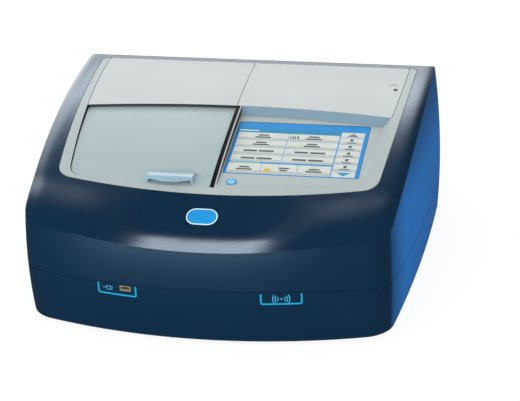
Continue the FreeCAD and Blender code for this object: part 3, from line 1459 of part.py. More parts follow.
def rear_side():
    """The metal rear panel with its fan, lamp cover and sockets."""
    low = CHASSIS_TOP
    half = HALF_WIDTH - D.rear_panel_margin
    openings = []
    wide, tall = D.inlet_body_width / 2 + D.fit_gap, D.inlet_body_height / 2 + D.fit_gap
    openings.append(frame_of(INLET_X - wide, D.inlet_height - tall, INLET_X + wide, D.inlet_height + tall))
    wide = D.network_width / 2 + D.fit_gap
    openings.append(frame_of(D.network_x - wide, PORT_LEVEL - D.fit_gap, D.network_x + wide,
                             PORT_LEVEL + D.network_height + D.fit_gap))
    for index in range(2):
        x = D.usb_rear_x + D.usb_rear_pitch * index
        wide = D.usb_width / 2 + D.fit_gap
        openings.append(frame_of(x - wide, PORT_LEVEL - D.fit_gap, x + wide,
                                 PORT_LEVEL + D.usb_height + D.fit_gap))
    openings.append(frame_of(LAMP_COVER_LEFT + 10, D.lamp_cover_bottom + 10,
                             LAMP_COVER_LEFT + D.lamp_cover_width - 10,
                             D.lamp_cover_bottom + D.lamp_cover_height - 10))
    count = 9
    for index in range(count):
        offset = (index - (count - 1) / 2) * 2 * D.fan_duct_radius / count
        reach = math.sqrt(float(D.fan_duct_radius) ** 2 - float(offset) ** 2) - 2
        openings.append(frame_of(D.fan_x + offset - 2, D.fan_height - reach, D.fan_x + offset + 2,
                                 D.fan_height + reach))
    holes = [(x, z, 1.5 + D.run_gap) for x, z in REAR_SCREWS]
    panel = plate("Rear", frame_of(-half, low, half, D.rear_panel_top), D.rear_panel_thick, "XZ_Plane",
                  -PANEL_INNER,
                  openings, holes, True)
    keep(panel, "rear_panel")

    slots = []
    for index in range(6):
        bottom = D.lamp_cover_bottom + 14 + index * (D.lamp_cover_height - 28) / 6 + 1
        slots.append(frame_of(LAMP_COVER_LEFT + 18, bottom, LAMP_COVER_LEFT + D.lamp_cover_width - 18,
                              bottom + 3))
    keep(plate("Door", frame_of(LAMP_COVER_LEFT, D.lamp_cover_bottom, LAMP_COVER_LEFT + D.lamp_cover_width,
                                D.lamp_cover_bottom + D.lamp_cover_height), D.lamp_cover_thick, "XZ_Plane",
               -INNER_REAR, slots, [(x, z, 1.8) for x, z in REAR_SCREWS], True), "lamp_cover")
    heads = []
    for index, (x, z) in enumerate(REAR_SCREWS):
        heads.append(rod(f"Rear_head_{index}", (x, INNER_REAR + D.lamp_cover_thick, z), 3, 1.4, "y"))
        heads.append(rod(f"Rear_shank_{index}", (x, PANEL_INNER, z), 1.5,
                         D.rear_panel_thick + D.lamp_cover_thick + 1, "y"))
    keep(join("Rear_screws", *heads), "rear_screws")


def fan():
    """The exhaust fan: a square duct with three struts and a seven-bladed rotor."""
    front = PANEL_INNER - D.fan_depth
    half = D.fan_size / 2
    x, z = D.fan_x, D.fan_height
    case = box("Fan_case", (x - half, front, z - half), (x + half, PANEL_INNER, z + half))
    duct = rod("Fan_duct", (x, front - 1, z), D.fan_duct_radius, D.fan_depth + 2, "y")
    struts = []
    for index in range(3):
        strut = Part.makeBox(float(D.fan_duct_radius) + 1, 2.5, 4, Vector(0, 0, -2))
        strut.rotate(Vector(), Vector(0, 1, 0), 90 + 120 * index)
        strut.translate(Vector(float(x), float(front), float(z)))
        struts.append(strut)
    hub = rod("Fan_hub", (x, front, z), D.fan_hub_radius, 7, "y")
    bore = rod("Fan_bore", (x, front - 1, z), D.fan_shaft_radius + D.run_gap, 9, "y")
    arms = formed("Fan_struts", struts[0].fuse(struts[1:]))
    keep(cut("Fan_frame", join("Fan_body", cut("Fan_ring", case, duct), arms, hub), bore), "fan_frame")

    hub_front, hub_depth = float(front) + 8, 9.0
    inner, outer = float(D.fan_hub_radius), float(D.fan_blade_radius)
    rotor = Part.makeCylinder(inner, hub_depth, Vector(0, hub_front, 0), Vector(0, 1, 0))
    rotor = rotor.fuse(Part.makeCylinder(float(D.fan_shaft_radius), 7, Vector(0, hub_front - 6.5, 0),
                                         Vector(0, 1, 0)))
    blades = []
    count = int(float(D.fan_blade_count))
    for index in range(count):
        root = Part.makePolygon(blade_corners(inner - 1, hub_front + hub_depth / 2, 38, 9.5))
        tip = Part.makePolygon(blade_corners(outer, hub_front + hub_depth / 2, 58, 13))
        blade = Part.makeLoft([root, tip], True, True)
        blade.rotate(Vector(), Vector(0, 1, 0), 360 * index / count)
        blades.append(blade)
    rotor = rotor.fuse(blades)
    rotor.translate(Vector(float(x), 0, float(z)))
    keep(formed("Fan_rotor", rotor), "fan_rotor")


def blade_corners(radius, middle, pitch, chord):
    """The four corners of a blade's section at a radius, pitched from the fan's axis."""
    angle = math.radians(pitch)
    along = (math.cos(angle) * chord / 2, math.sin(angle) * chord / 2)
    across = (-math.sin(angle) * 0.7, math.cos(angle) * 0.7)
    signs = ((-1, -1), (1, -1), (1, 1), (-1, 1), (-1, -1))
    return [Vector(u * along[1] + v * across[1], middle + u * along[0] + v * across[0], radius) for u,
            v in signs]


def mains_entry():
    """The mains inlet with its fuse drawer and rocker switch."""
    x, z = INLET_X, D.inlet_height
    wide, tall = D.inlet_body_width / 2, D.inlet_body_height / 2
    body = box("Inlet_body", (x - wide, INNER_REAR - D.inlet_body_depth, z - tall),
               (x + wide, INNER_REAR + 1, z + tall))
    flange_wide, flange_tall = D.inlet_flange_width / 2, D.inlet_flange_height / 2
    face = INNER_REAR + D.inlet_flange_thick
    flange = box("Inlet_flange", (x - flange_wide, INNER_REAR, z - flange_tall),
                 (x + flange_wide, face, z + flange_tall))
    wide, tall = D.inlet_cavity_width / 2, D.inlet_cavity_height / 2
    cavity = new_body("Inlet_cavity")
    sketch = new_sketch(cavity, "Inlet_mouth", "XZ_Plane", -(face + 1))
    draw(sketch, [(x - wide, INLET_LOW - tall), (x + wide, INLET_LOW - tall),
                  (x + wide, INLET_LOW + tall - 5),
                  (x + wide - 5, INLET_LOW + tall), (x - wide + 5, INLET_LOW + tall),
                  (x - wide, INLET_LOW + tall - 5)])
    pad(cavity, sketch, D.inlet_cavity_depth + 1)
    bed = face - D.inlet_cavity_depth
    gap = D.fit_gap
    wide, tall = D.drawer_width / 2 + gap, D.drawer_height / 2 + gap
    drawer_hole = box("Inlet_drawer_hole", (x - wide, face - D.drawer_depth - gap, DRAWER_LEVEL - tall),
                      (x + wide, face + 1, DRAWER_LEVEL + tall))
    wide, tall = D.rocker_width / 2 + gap, D.rocker_height / 2 + gap
    rocker_hole = box("Inlet_rocker_hole", (x - wide, face - 14, ROCKER_LEVEL - tall),
                      (x + wide, face + 1, ROCKER_LEVEL + tall))
    hollow = cut("Inlet_hollow", join("Inlet_case", body, flange), cavity, drawer_hole, rocker_hole)
    pins = [box(f"Inlet_pin_{index}", (x + offset - 1, bed - 1, INLET_LOW + lift - 2),
                (x + offset + 1, bed + 12, INLET_LOW + lift + 2))
            for index, (offset, lift) in enumerate([(-7, -1.5), (0, 2), (7, -1.5)])]
    keep(join("Inlet", hollow, *pins), "mains_inlet")

    wide, tall = D.drawer_width / 2, D.drawer_height / 2
    slider = box("Drawer_slider", (x - wide, face - D.drawer_depth, DRAWER_LEVEL - tall),
                 (x + wide, face + 0.2, DRAWER_LEVEL + tall))
    grip = box("Drawer_grip", (x - 3, face, DRAWER_LEVEL - 1), (x + 3, face + 1.4, DRAWER_LEVEL + 1))
    fuse_slot = box("Drawer_slot", (x - 10, face - D.drawer_depth + 2, DRAWER_LEVEL - 2.6),
                    (x + 10, face - D.drawer_depth + 8, DRAWER_LEVEL + 5))
    keep(join("Drawer", cut("Drawer_body", slider, fuse_slot), grip), "fuse_drawer")

    rocker = new_body("Rocker")
    sketch = new_sketch(rocker, "Rocker_side", "YZ_Plane", x - D.rocker_width / 2)
    tall = D.rocker_height / 2 - 0.5
    draw(sketch, [(face - 6, ROCKER_LEVEL - tall + 1), (face - 3, ROCKER_LEVEL - tall),
                  (face + 0.8, ROCKER_LEVEL - tall),
                  (face + 0.2, ROCKER_LEVEL), (face + 0.8, ROCKER_LEVEL + tall),
                  (face - 3, ROCKER_LEVEL + tall),
                  (face - 6, ROCKER_LEVEL + tall - 1)])
    pad(rocker, sketch, D.rocker_width)
    keep(rocker, "mains_rocker")


def sockets():
    """The network socket and the serial sockets at the rear and the front."""
    rear = INNER_REAR + 0.5
    x, low = D.network_x, PORT_LEVEL
    wide = D.network_width / 2
    case = box("Network_case", (x - wide, rear - D.network_depth, low),
               (x + wide, rear, low + D.network_height))
    mouth = box("Network_mouth", (x - 5.9, rear - 13, low + 1.5), (x + 5.9, rear + 1, low + 9.6))
    latch = box("Network_latch", (x - 3.1, rear - 13, low + 9.5), (x + 3.1, rear + 1, low + 11.8))
    keep(cut("Network", case, mouth, latch), "network_port")

    wide, depth, tall = float(D.usb_width), float(D.usb_depth), float(D.usb_height)
    skin = float(D.usb_wall)
    shell = Part.makeBox(wide, depth, tall, Vector(-wide / 2, 0, -tall / 2))
    mouth = Part.makeBox(wide - 2 * skin, depth, tall - 2 * skin,
                         Vector(skin - wide / 2, -2, skin - tall / 2))
    tongue = Part.makeBox(11, depth - 6, 1.8, Vector(-5.5, 4.5, 0.4))
    socket = shell.cut(mouth).fuse(tongue)
    point, turn = front_point(D.usb_front_x, D.usb_front_height)
    placements = [Placement(point, Rotation(Vector(0, 0, 1), turn))]
    for index in range(2):
        place_x = float(D.usb_rear_x) + float(D.usb_rear_pitch) * index
        placements.append(Placement(Vector(place_x, float(rear), float(PORT_LEVEL) + tall / 2),
                                    Rotation(Vector(0, 0, 1), 180)))
    ports = []
    for spot in placements:
        port = socket.copy()
        port.Placement = spot
        ports.append(port)
    keep(formed("Serial", Part.makeCompound(ports)), "usb_ports")


housing()
keep(formed("Deck_frame", deck_frame()), "deck_frame")
keep(formed("Cover_left", rear_cover(-FAR, D.cover_split - D.cover_gap / 2)), "rear_cover_left")
right_cover = formed("Cover_right_blank", rear_cover(D.cover_split + D.cover_gap / 2,
                                                     FAR).fuse(cover_lip()))
sensor = rod("Sensor_hole", (WINDOW_HALF - D.sensor_hole_inset, FRONT + D.sensor_hole_back, 0),
             D.sensor_hole_radius, FAR)
keep(cut("Cover_right", right_cover, sensor), "rear_cover_right")
keep(formed("Lid", cell_lid()), "cell_lid")
keep(formed("Handle", lid_handle()), "lid_handle")
keep(formed("Rails", lid_rails()), "lid_rails")
keep(formed("Divider", divider_strip()), "divider_strip")
keep(formed("Seal", lid_seal()), "lid_seal")
display_stack()
chassis()
compartment()
beam_parts()
monochromator()
filter_drive()
lamps()
electronics()
rail_bridge()
rear_side()
fan()
mains_entry()
sockets()

doc.recompute()
faulty = [item.Name for item in doc.Objects if {"Invalid", "Error"} & set(item.State)]
faulty += [item.Label for item in nodes if item.Shape.isNull() or not item.Shape.isValid() or not item.Shape.Solids]
if faulty:
    raise RuntimeError("These objects did not build: " + ", ".join(faulty))
os.makedirs("parts", exist_ok=True)
for item in nodes:
    item.Shape.exportStep(os.path.join("parts", item.Label + ".step"))
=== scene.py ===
import math

import bpy
from mathutils import Matrix, Vector
from mathutils.bvhtree import BVHTree


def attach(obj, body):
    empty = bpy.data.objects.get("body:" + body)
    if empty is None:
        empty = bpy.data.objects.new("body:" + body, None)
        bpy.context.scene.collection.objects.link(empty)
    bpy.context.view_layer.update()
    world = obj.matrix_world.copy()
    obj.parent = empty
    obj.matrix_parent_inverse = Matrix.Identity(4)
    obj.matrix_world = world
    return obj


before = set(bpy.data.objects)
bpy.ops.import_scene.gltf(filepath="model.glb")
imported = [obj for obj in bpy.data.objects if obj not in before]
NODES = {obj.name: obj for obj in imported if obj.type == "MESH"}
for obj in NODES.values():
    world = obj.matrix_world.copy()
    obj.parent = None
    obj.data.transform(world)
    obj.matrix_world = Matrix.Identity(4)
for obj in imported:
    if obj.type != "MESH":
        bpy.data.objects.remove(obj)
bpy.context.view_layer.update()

bl_info = {
    "name": "Bench spectrophotometer",
    "version": (1, 0, 0),
    "blender": (4, 5, 0),
    "location": "View3D > Sidebar > Spectrophotometer",
    "description": "Dresses the CAD model of a bench spectrophotometer and sets up its studio",
    "category": "Object",
}

MM = 0.001

# Front lower corner of the tilted display panel, and the power button's place on it
PANEL_Y, PANEL_Z = -0.115, 0.1652
BUTTON_X, BUTTON_REACH = 0.0206, 0.0153

# Bright parts of the studio as the skin mirrors them: bearing of the middle, from +Y towards -X,
# then how far each is fully bright and how far it reaches, all in degrees
REAR_ZONE = (16, 16, 27)
REAR_LEFT_ZONE = (36, 7, 13)
REAR_CORE_ZONE = (12, 5, 21)
FRONT_ZONE = (165, 2, 42)
FRONT_WIDE_ZONE = (172, 20, 80)
FLOOR_ZONE = (169, 6, 36)

# Joint between the hood and the base shell: its height at the front and its fall to the back, the
# front edge and the depth of the shells, and how far forward the brackets stand
SEAM_FRONT, SEAM_FALL = 0.077, 0.027
FRONT_Y, DEPTH = -0.23, 0.46
BRACKET_Y = -0.222

# Middle of the blank plate on the hood with the radius of its corners, and the light sensor
PLATE_X, PLATE_Y, PLATE_CORNER = -0.005, -0.162, 0.0122
SENSOR_X, SENSOR_Y = 0.196, 0.146

# Place and width of the two lamps
KEY_LAMP = ((-0.5, -1.0, 2.1), 1.6)
FILL_LAMP = ((-1.7, -0.6, 0.9), 1.0)


def srgb(red, green, blue):
    """A colour written as 0 to 255, as the linear colour that the shader needs."""
    linear = []
    for value in (red, green, blue):
        value /= 255
        linear.append(value / 12.92 if value <= 0.04045 else ((value + 0.055) / 1.055) ** 2.4)
    return (*linear, 1.0)


def colour(name, description, red, green, blue):
    return bpy.props.FloatVectorProperty(
        name=name, description=description, subtype="COLOR", size=4, min=0, max=1,
        default=srgb(red, green, blue))


def length(name, description, millimetres):
    return bpy.props.FloatProperty(
        name=name, description=description, default=millimetres * MM, unit="LENGTH", subtype="DISTANCE",
        precision=5)


def rotation(name, description, degrees):
    return bpy.props.FloatProperty(
        name=name, description=description, default=math.radians(degrees), unit="ROTATION",
        subtype="ANGLE")


def number(name, description, value, low=0.0, high=1000.0):
    return bpy.props.FloatProperty(name=name, description=description, default=value, min=low, max=high)


class ShellLook(bpy.types.PropertyGroup):
    """Colours of the moulded shells and the deck."""
    navy: colour("Navy", "Body paint on the front and the top", 6, 40, 66)
    # The side blue is painted light: it stands for the studio's light falling on the upright sides.
    blue: colour("Blue", "Body paint on the two sides", 34, 134, 226)
    sheen: colour("Sheen", "Tint of the paint's reflections", 190, 226, 250)
    deck: colour("Deck", "Moulding round the lid and the display", 176, 188, 188)
    # Painted shade: the darker blue-grey that the covers take where they slope forward.
    slope: colour("Slope", "Slope between the right cover and the display", 122, 148, 164)
    # Painted shade: the dark tone that stands for the shadow on the walls of the gaps.
    gap: colour("Gaps", "Upright walls of the gaps in the deck", 40, 46, 50)
    cover: colour("Covers", "The two covers behind the lid", 194, 202, 201)
    lid: colour("Lid", "The sliding lid", 169, 187, 190)
    handle: colour("Handle", "The pull on the lid", 148, 182, 197)
    dark: colour("Dark plastic", "Sockets, fan and the compartment", 50, 54, 60)
    # Partly painted shade: on the strip beside the lid this black stands for the shadow in the gap there,
    # while the rails are black plastic.
    black: colour("Black plastic", "Strip beside the lid and its rails", 7, 9, 12)
    flake: number("Flake", "How strongly the paint's fine flakes vary", 0.25, 0, 1)
    texture: length("Texture", "Depth of the moulded grain", 0.02)


class ScreenLook(bpy.types.PropertyGroup):
    """Place and colours of the picture on the display."""
    left: length("Left", "Left edge of the glass in the display's frame", 5)
    start: length("Start", "Front edge of the glass in the display's frame", 35)
    width: length("Width", "Width of the glass", 175)
    reach: length("Length", "Length of the glass", 126)
    slope: rotation("Slope", "Tilt of the display", 9.73)
    field: colour("Field", "Blue border of the picture", 4, 134, 206)
    header: colour("Header", "Bar above the fields", 10, 132, 170)
    tile: colour("Fields", "Pale fields of the picture", 206, 212, 204)
    tile_low: colour("Lower fields", "Shaded lower part of each field", 180, 188, 182)
    ink: colour("Ink", "Dark bars that stand for words", 74, 84, 90)
    green: colour("Green", "Thin line in the picture", 150, 212, 160)
    yellow: colour("Yellow", "Small picture in the lowest row", 214, 172, 30)
    teal: colour("Arrow", "Lower arrow", 22, 150, 190)
    grey: colour("Upper arrow", "Upper arrow", 112, 120, 124)
    glow: number("Glow", "Light that the picture gives off", 0.06, 0, 5)


class MarkLook(bpy.types.PropertyGroup):
    """The printed marks and the blank plate on the front."""
    cyan: colour("Cyan", "Printed brackets", 22, 154, 196)
    print_grey: colour("Print", "Small printed pictures", 70, 156, 196)
    plate: colour("Plate", "Blank plate on the hood", 30, 150, 220)
    plate_rim: colour("Plate rim", "Raised rim of the blank plate", 214, 238, 248)
    plate_width: length("Plate width", "Width of the blank plate", 40)
    plate_height: length("Plate height", "Height of the blank plate", 25)
    bracket_x: length("Bracket place", "Distance of each bracket from the middle", 103.6)
    bracket_width: length("Bracket width", "Width of each bracket", 50)
    bracket_height: length("Bracket height", "Height of each bracket", 16.5)
    line: length("Line", "Width of the bracket's line", 2.1)
    button: colour("Button", "Power button", 62, 166, 222)
    symbol: colour("Symbol", "Ring and bar on the button", 200, 236, 250)


class StudioLook(bpy.types.PropertyGroup):
    """Floor, lights and camera."""
    floor: colour("Floor", "Floor and backdrop", 242, 243, 244)
    distance: length("Distance", "From the camera to the middle of the object", 2637.53)
    lens: length("Lens", "Focal length", 137.8)
    azimuth: rotation("Azimuth", "Turn of the view", 12.19)
    elevation: rotation("Elevation", "Height of the view", 24.01)
    roll: rotation("Roll", "Roll of the view", 2.19)
    aim_x: number("Aim across", "Turn of the aim to the right, as a share of its length", 0.01374, -1, 1)
    aim_y: number("Aim up", "Turn of the aim upwards, as a share of its length", -0.00123, -1, 1)
    key: number("Key light", "Power of the large lamp above the front", 5.0)
    fill: number("Fill light", "Power of the lamp at the left", 3.0)
    sky: number("Sky", "Strength of the plain light from all round", 0.66)
    bounce: number("Bounce", "Extra plain light from low before the object", 4.0)
    back: number("Back", "Brightness behind the object, as its skin mirrors it", 1.5)
    front: number("Front", "Brightness before the object, as its skin mirrors it", 3.2)
    dark: number("Dark", "Brightness overhead and aside, as the skin mirrors it", 0.05)


# Shader node groups

def new_group(name, inputs, outputs):
    """An empty shader group with its sockets, and its two end nodes."""
    group = bpy.data.node_groups.new(name, "ShaderNodeTree")
    for label, kind, default in inputs:
        socket = group.interface.new_socket(label, in_out="INPUT", socket_type=kind)
        socket.default_value = default
    for label, kind in outputs:
        group.interface.new_socket(label, in_out="OUTPUT", socket_type=kind)
    return group, group.nodes.new("NodeGroupInput"), group.nodes.new("NodeGroupOutput")


def wire(tree, *pairs):
    for start, end in pairs:
        tree.links.new(start, end)


def math_node(tree, operation, first, second=None, third=None):
    node = tree.nodes.new("ShaderNodeMath")
    node.operation = operation
    for socket, value in zip(node.inputs, (first, second, third)):
        if value is None:
            continue
        if isinstance(value, (int, float)):
            socket.default_value = value
        else:
            tree.links.new(value, socket)
    return node.outputs[0]


def noise(tree, vector, scale, detail=3.0):
    node = tree.nodes.new("ShaderNodeTexNoise")
    node.inputs["Detail"].default_value = detail
    tree.links.new(vector, node.inputs["Vector"])
    if isinstance(scale, (int, float)):
        node.inputs["Scale"].default_value = scale
    else:
        tree.links.new(scale, node.inputs["Scale"])
    return node.outputs["Fac"]


def smooth_share(tree, value, start, end):
    """How far a value has gone from one number to another, eased at both ends."""
    node = tree.nodes.new("ShaderNodeMapRange")
    node.interpolation_type = "SMOOTHSTEP"
    node.inputs["From Min"].default_value = start
    node.inputs["From Max"].default_value = end
    tree.links.new(value, node.inputs["Value"])
    return node.outputs[0]


def mixed(tree, share, first, second):
    """A colour between two others."""
    node = tree.nodes.new("ShaderNodeMix")
    node.data_type = "RGBA"
    for socket, value in zip((node.inputs[0], node.inputs[6], node.inputs[7]), (share, first, second)):
        if isinstance(value, bpy.types.NodeSocket):
            tree.links.new(value, socket)
        else:
            socket.default_value = value
    return node.outputs[2]


def mottle_group():
    """Two shades of one colour, mixed in soft patches."""
    group, start, end = new_group(
        "Mottle", [("First", "NodeSocketColor", (0.5, 0.5, 0.5, 1)),
                   ("Second", "NodeSocketColor", (0.5, 0.5, 0.5, 1)),
                   ("Scale", "NodeSocketFloat", 8.0)], [("Colour", "NodeSocketColor")])
    place = group.nodes.new("ShaderNodeTexCoord")
    patches = noise(group, place.outputs["Object"], start.outputs["Scale"], 4.0)
    share = group.nodes.new("ShaderNodeMapRange")
    share.inputs["From Min"].default_value = 0.35
    share.inputs["From Max"].default_value = 0.65
    wire(group, (patches, share.inputs["Value"]))
    wire(group, (mixed(group, share.outputs[0], start.outputs["First"], start.outputs["Second"]),
                 end.inputs[0]))
    return group


def grain_group():
    """Moulded or cast grain: its height, and a roughness that wanders a little."""
    group, start, end = new_group(
        "Grain", [("Scale", "NodeSocketFloat", 900.0), ("Low", "NodeSocketFloat", 0.4),
                  ("High", "NodeSocketFloat", 0.5)],
        [("Roughness", "NodeSocketFloat"), ("Height", "NodeSocketFloat")])
    place = group.nodes.new("ShaderNodeTexCoord")
    fine = noise(group, place.outputs["Object"], start.outputs["Scale"], 2.0)
    broad = noise(group, place.outputs["Object"], 14.0, 5.0)
    rough = group.nodes.new("ShaderNodeMapRange")
    wire(group, (broad, rough.inputs["Value"]), (start.outputs["Low"], rough.inputs["To Min"]),
         (start.outputs["High"], rough.inputs["To Max"]), (rough.outputs[0], end.inputs["Roughness"]),
         (fine, end.inputs["Height"]))
    return group


def brushed_group():
    """Fine parallel scratches along the object's width."""
    group, start, end = new_group(
        "Brushed", [("Scale", "NodeSocketFloat", 60.0), ("Low", "NodeSocketFloat", 0.25),
                    ("High", "NodeSocketFloat", 0.45)],
        [("Roughness", "NodeSocketFloat"), ("Height", "NodeSocketFloat")])
    place = group.nodes.new("ShaderNodeTexCoord")
    stretch = group.nodes.new("ShaderNodeMapping")
    stretch.inputs["Scale"].default_value = (0.4, 20, 20)
    wire(group, (place.outputs["Object"], stretch.inputs["Vector"]))
    lines = noise(group, stretch.outputs[0], start.outputs["Scale"], 4.0)
    rough = group.nodes.new("ShaderNodeMapRange")
    wire(group, (lines, rough.inputs["Value"]), (start.outputs["Low"], rough.inputs["To Min"]),
         (start.outputs["High"], rough.inputs["To Max"]), (rough.outputs[0], end.inputs["Roughness"]),
         (lines, end.inputs["Height"]))
    return group


def gap_shade_group():
    """Painted shade: a dark tone on the upright walls, standing for the shadow in the gaps between the
    deck's pieces.
    """
    group, start, end = new_group(
        "GapShade", [("Base", "NodeSocketColor", (0.5, 0.5, 0.5, 1)),
                ("Tone", "NodeSocketColor", (0.02, 0.02, 0.02, 1))],
        [("Colour", "NodeSocketColor")])
    place, lean = group.nodes.new("ShaderNodeTexCoord"), group.nodes.new("ShaderNodeSeparateXYZ")
    wire(group, (place.outputs["Normal"], lean.inputs[0]))
    share = smooth_share(group, lean.outputs["Z"], 0.45, 0.2)
    wire(group, (mixed(group, share, start.outputs["Base"], start.outputs["Tone"]), end.inputs[0]))
    return group


GROUPS = {"Mottle": mottle_group, "Grain": grain_group, "Brushed": brushed_group, "GapShade": gap_shade_group}


def use_group(tree, name, **values):
    """One of the shared groups as a node, with its numbers and colours set."""
    node = tree.nodes.new("ShaderNodeGroup")
    node.node_tree = bpy.data.node_groups.get(name) or GROUPS[name]()
    for label, value in values.items():
        node.inputs[label].default_value = value
    return node


# Materials

def bare(name, **values):
    """A material with one principled shader, some of whose sockets are set."""
    material = bpy.data.materials.new(name)
    material.use_nodes = True
    shader = material.node_tree.nodes["Principled BSDF"]
    for label, value in values.items():
        shader.inputs[label.replace("_", " ")].default_value = value
    return material, material.node_tree, shader


def shade(base, factor):
    return (*[min(value * factor, 1.0) for value in base[:3]], 1.0)


def bumped(tree, shader, height, depth):
    bump = tree.nodes.new("ShaderNodeBump")
    bump.inputs["Distance"].default_value = depth
    wire(tree, (height, bump.inputs["Height"]), (bump.outputs[0], shader.inputs["Normal"]))


def surface(name, base, low=0.4, high=0.52, spread=0.06, scale=900.0, depth=0.00002, finish="Grain",
            **values):
    """A moulded, cast or brushed surface in one colour that is never quite even."""
    material, tree, shader = bare(name, **values)
    tint = use_group(tree, "Mottle", First=shade(base, 1 - spread), Second=shade(base, 1 + spread),
                     Scale=9.0)
    skin = use_group(tree, finish, Scale=scale, Low=low, High=high)
    wire(tree, (tint.outputs["Colour"], shader.inputs["Base Color"]),
         (skin.outputs["Roughness"], shader.inputs["Roughness"]))
    bumped(tree, shader, skin.outputs["Height"], depth)
    return material


def seamed(name, base, spread, look, slope=None):
    """A pale moulded surface with painted shade: dark on the walls of its gaps, and a darker blue-grey
    where it slopes forward.
    """
    material = surface(name, base, 0.32, 0.42, spread, 1100.0, look.texture, Specular_IOR_Level=0.25)
    tree = material.node_tree
    shader = tree.nodes["Principled BSDF"]
    tone_and_slope_shade = shader.inputs["Base Color"].links[0].from_socket
    # Painted shade: faces that tilt forward are mixed towards the darker blue-grey slope colour.
    if slope:
        place, lean = tree.nodes.new("ShaderNodeTexCoord"), tree.nodes.new("ShaderNodeSeparateXYZ")
        wire(tree, (place.outputs["Normal"], lean.inputs[0]))
        tone_and_slope_shade = mixed(tree, smooth_share(tree, lean.outputs["Y"], -0.2, -0.34), tone_and_slope_shade, slope)
    # Painted shade: the upright walls of the gaps are darkened.
    gap_shade_tone = use_group(tree, "GapShade", Tone=tuple(look.gap))
    wire(tree, (tone_and_slope_shade, gap_shade_tone.inputs["Base"]), (gap_shade_tone.outputs["Colour"], shader.inputs["Base Color"]))
    return material


def body_paint(look):
    """Dark navy paint with blue reflections, and painted side light: a livelier blue on the upright sides.
    """
    material, tree, shader = bare("navy_paint", Specular_IOR_Level=0.9, Specular_Tint=tuple(look.sheen))
    place = tree.nodes.new("ShaderNodeTexCoord")
    flat = tree.nodes.new("ShaderNodeVectorMath")
    flat.operation = "MULTIPLY"
    flat.inputs[1].default_value = (1, 1, 0)
    outward = tree.nodes.new("ShaderNodeVectorMath")
    outward.operation = "NORMALIZE"
    across, tilt = tree.nodes.new("ShaderNodeSeparateXYZ"), tree.nodes.new("ShaderNodeSeparateXYZ")
    wire(tree, (place.outputs["Normal"], flat.inputs[0]), (flat.outputs[0], outward.inputs[0]),
         (outward.outputs[0], across.inputs[0]), (place.outputs["Normal"], tilt.inputs[0]))
    # Painted light: the upright sides are mixed towards a livelier blue where the studio's light falls,
    # fading out towards the top rim and the front corners.
    side_light_facing = smooth_share(tree, math_node(tree, "ABSOLUTE", across.outputs["X"]), 0.9, 0.995)
    upright = smooth_share(tree, tilt.outputs["Z"], 0.62, 0.2)
    share = math_node(tree, "MULTIPLY", side_light_facing, upright)
    spot = tree.nodes.new("ShaderNodeSeparateXYZ")
    wire(tree, (place.outputs["Object"], spot.inputs[0]))
    side_light_behind_corner = smooth_share(tree, spot.outputs["Y"], -0.225, -0.08)
    side_light_near_rim = smooth_share(tree, spot.outputs["Z"], 0.12, 0.21)
    side_light_below_rim = math_node(tree, "MULTIPLY_ADD", side_light_near_rim, -0.6, 1.0)
    share = math_node(tree, "MULTIPLY", share, math_node(tree, "MULTIPLY", side_light_behind_corner, side_light_below_rim))
    side_light_paint = mixed(tree, share, tuple(look.navy), tuple(look.blue))
    flakes = noise(tree, place.outputs["Object"], 1400.0, 1.0)
    bright = math_node(tree, "MULTIPLY_ADD", flakes, look.flake, 1 - look.flake / 2)
    scaled = tree.nodes.new("ShaderNodeVectorMath")
    scaled.operation = "SCALE"
    wire(tree, (side_light_paint, scaled.inputs[0]), (bright, scaled.inputs["Scale"]),
         (scaled.outputs[0], shader.inputs["Base Color"]))
    skin = use_group(tree, "Grain", Scale=700.0, Low=0.22, High=0.28)
    wire(tree, (skin.outputs["Roughness"], shader.inputs["Roughness"]))
    bumped(tree, shader, skin.outputs["Height"], look.texture * 0.3)
    return material


def clear_glass(name, tint=(1, 1, 1, 1), alpha=0.25):
    material, tree, shader = bare(name, Base_Color=tint, IOR=1.45, Alpha=alpha)
    smears = use_group(tree, "Grain", Scale=40.0, Low=0.02, High=0.09)
    wire(tree, (smears.outputs["Roughness"], shader.inputs["Roughness"]))
    return material


def printed(name, base, glow=0.0):
    """Ink or a lit picture part: an even colour with a faint mottle under a smooth skin."""
    material, tree, shader = bare(name, Specular_IOR_Level=0.15)
    tint = use_group(tree, "Mottle", First=shade(base, 0.97), Second=shade(base, 1.03), Scale=60.0)
    skin = use_group(tree, "Grain", Scale=500.0, Low=0.28, High=0.34)
    wire(tree, (tint.outputs["Colour"], shader.inputs["Base Color"]),
         (skin.outputs["Roughness"], shader.inputs["Roughness"]))
    if glow:
        wire(tree, (tint.outputs["Colour"], shader.inputs["Emission Color"]))
        shader.inputs["Emission Strength"].default_value = glow
    return material


def paint(material, *names):
    """Give CAD nodes a material in place of the plain one they came with."""
    for name in names:
        slots = NODES[name].data.materials
        slots.clear()
        slots.append(material)


# Pieces

def add_piece(name, points, faces, material, body, slot, smooth=False):
    """A new mesh that rides on a CAD body."""
    mesh = bpy.data.meshes.new(name)
    mesh.from_pydata([tuple(point) for point in points], [], faces)
    mesh.validate()
    mesh.materials.append(material)
    if smooth:
        mesh.shade_smooth()
    item = bpy.data.objects.new(name, mesh)
    bpy.context.scene.collection.objects.link(item)
    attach(item, body)
    return item


def rounded(left, low, right, high, radius, steps=4):
    """The outline of a rectangle with rounded corners, anticlockwise."""
    outline = []
    for x, y, turn in ((right - radius, low + radius, -90), (right - radius, high - radius, 0),
                       (left + radius, high - radius, 90), (left + radius, low + radius, 180)):
        for step in range(steps + 1):
            angle = math.radians(turn + 90 * step / steps)
            outline.append((x + radius * math.cos(angle), y + radius * math.sin(angle)))
    return outline


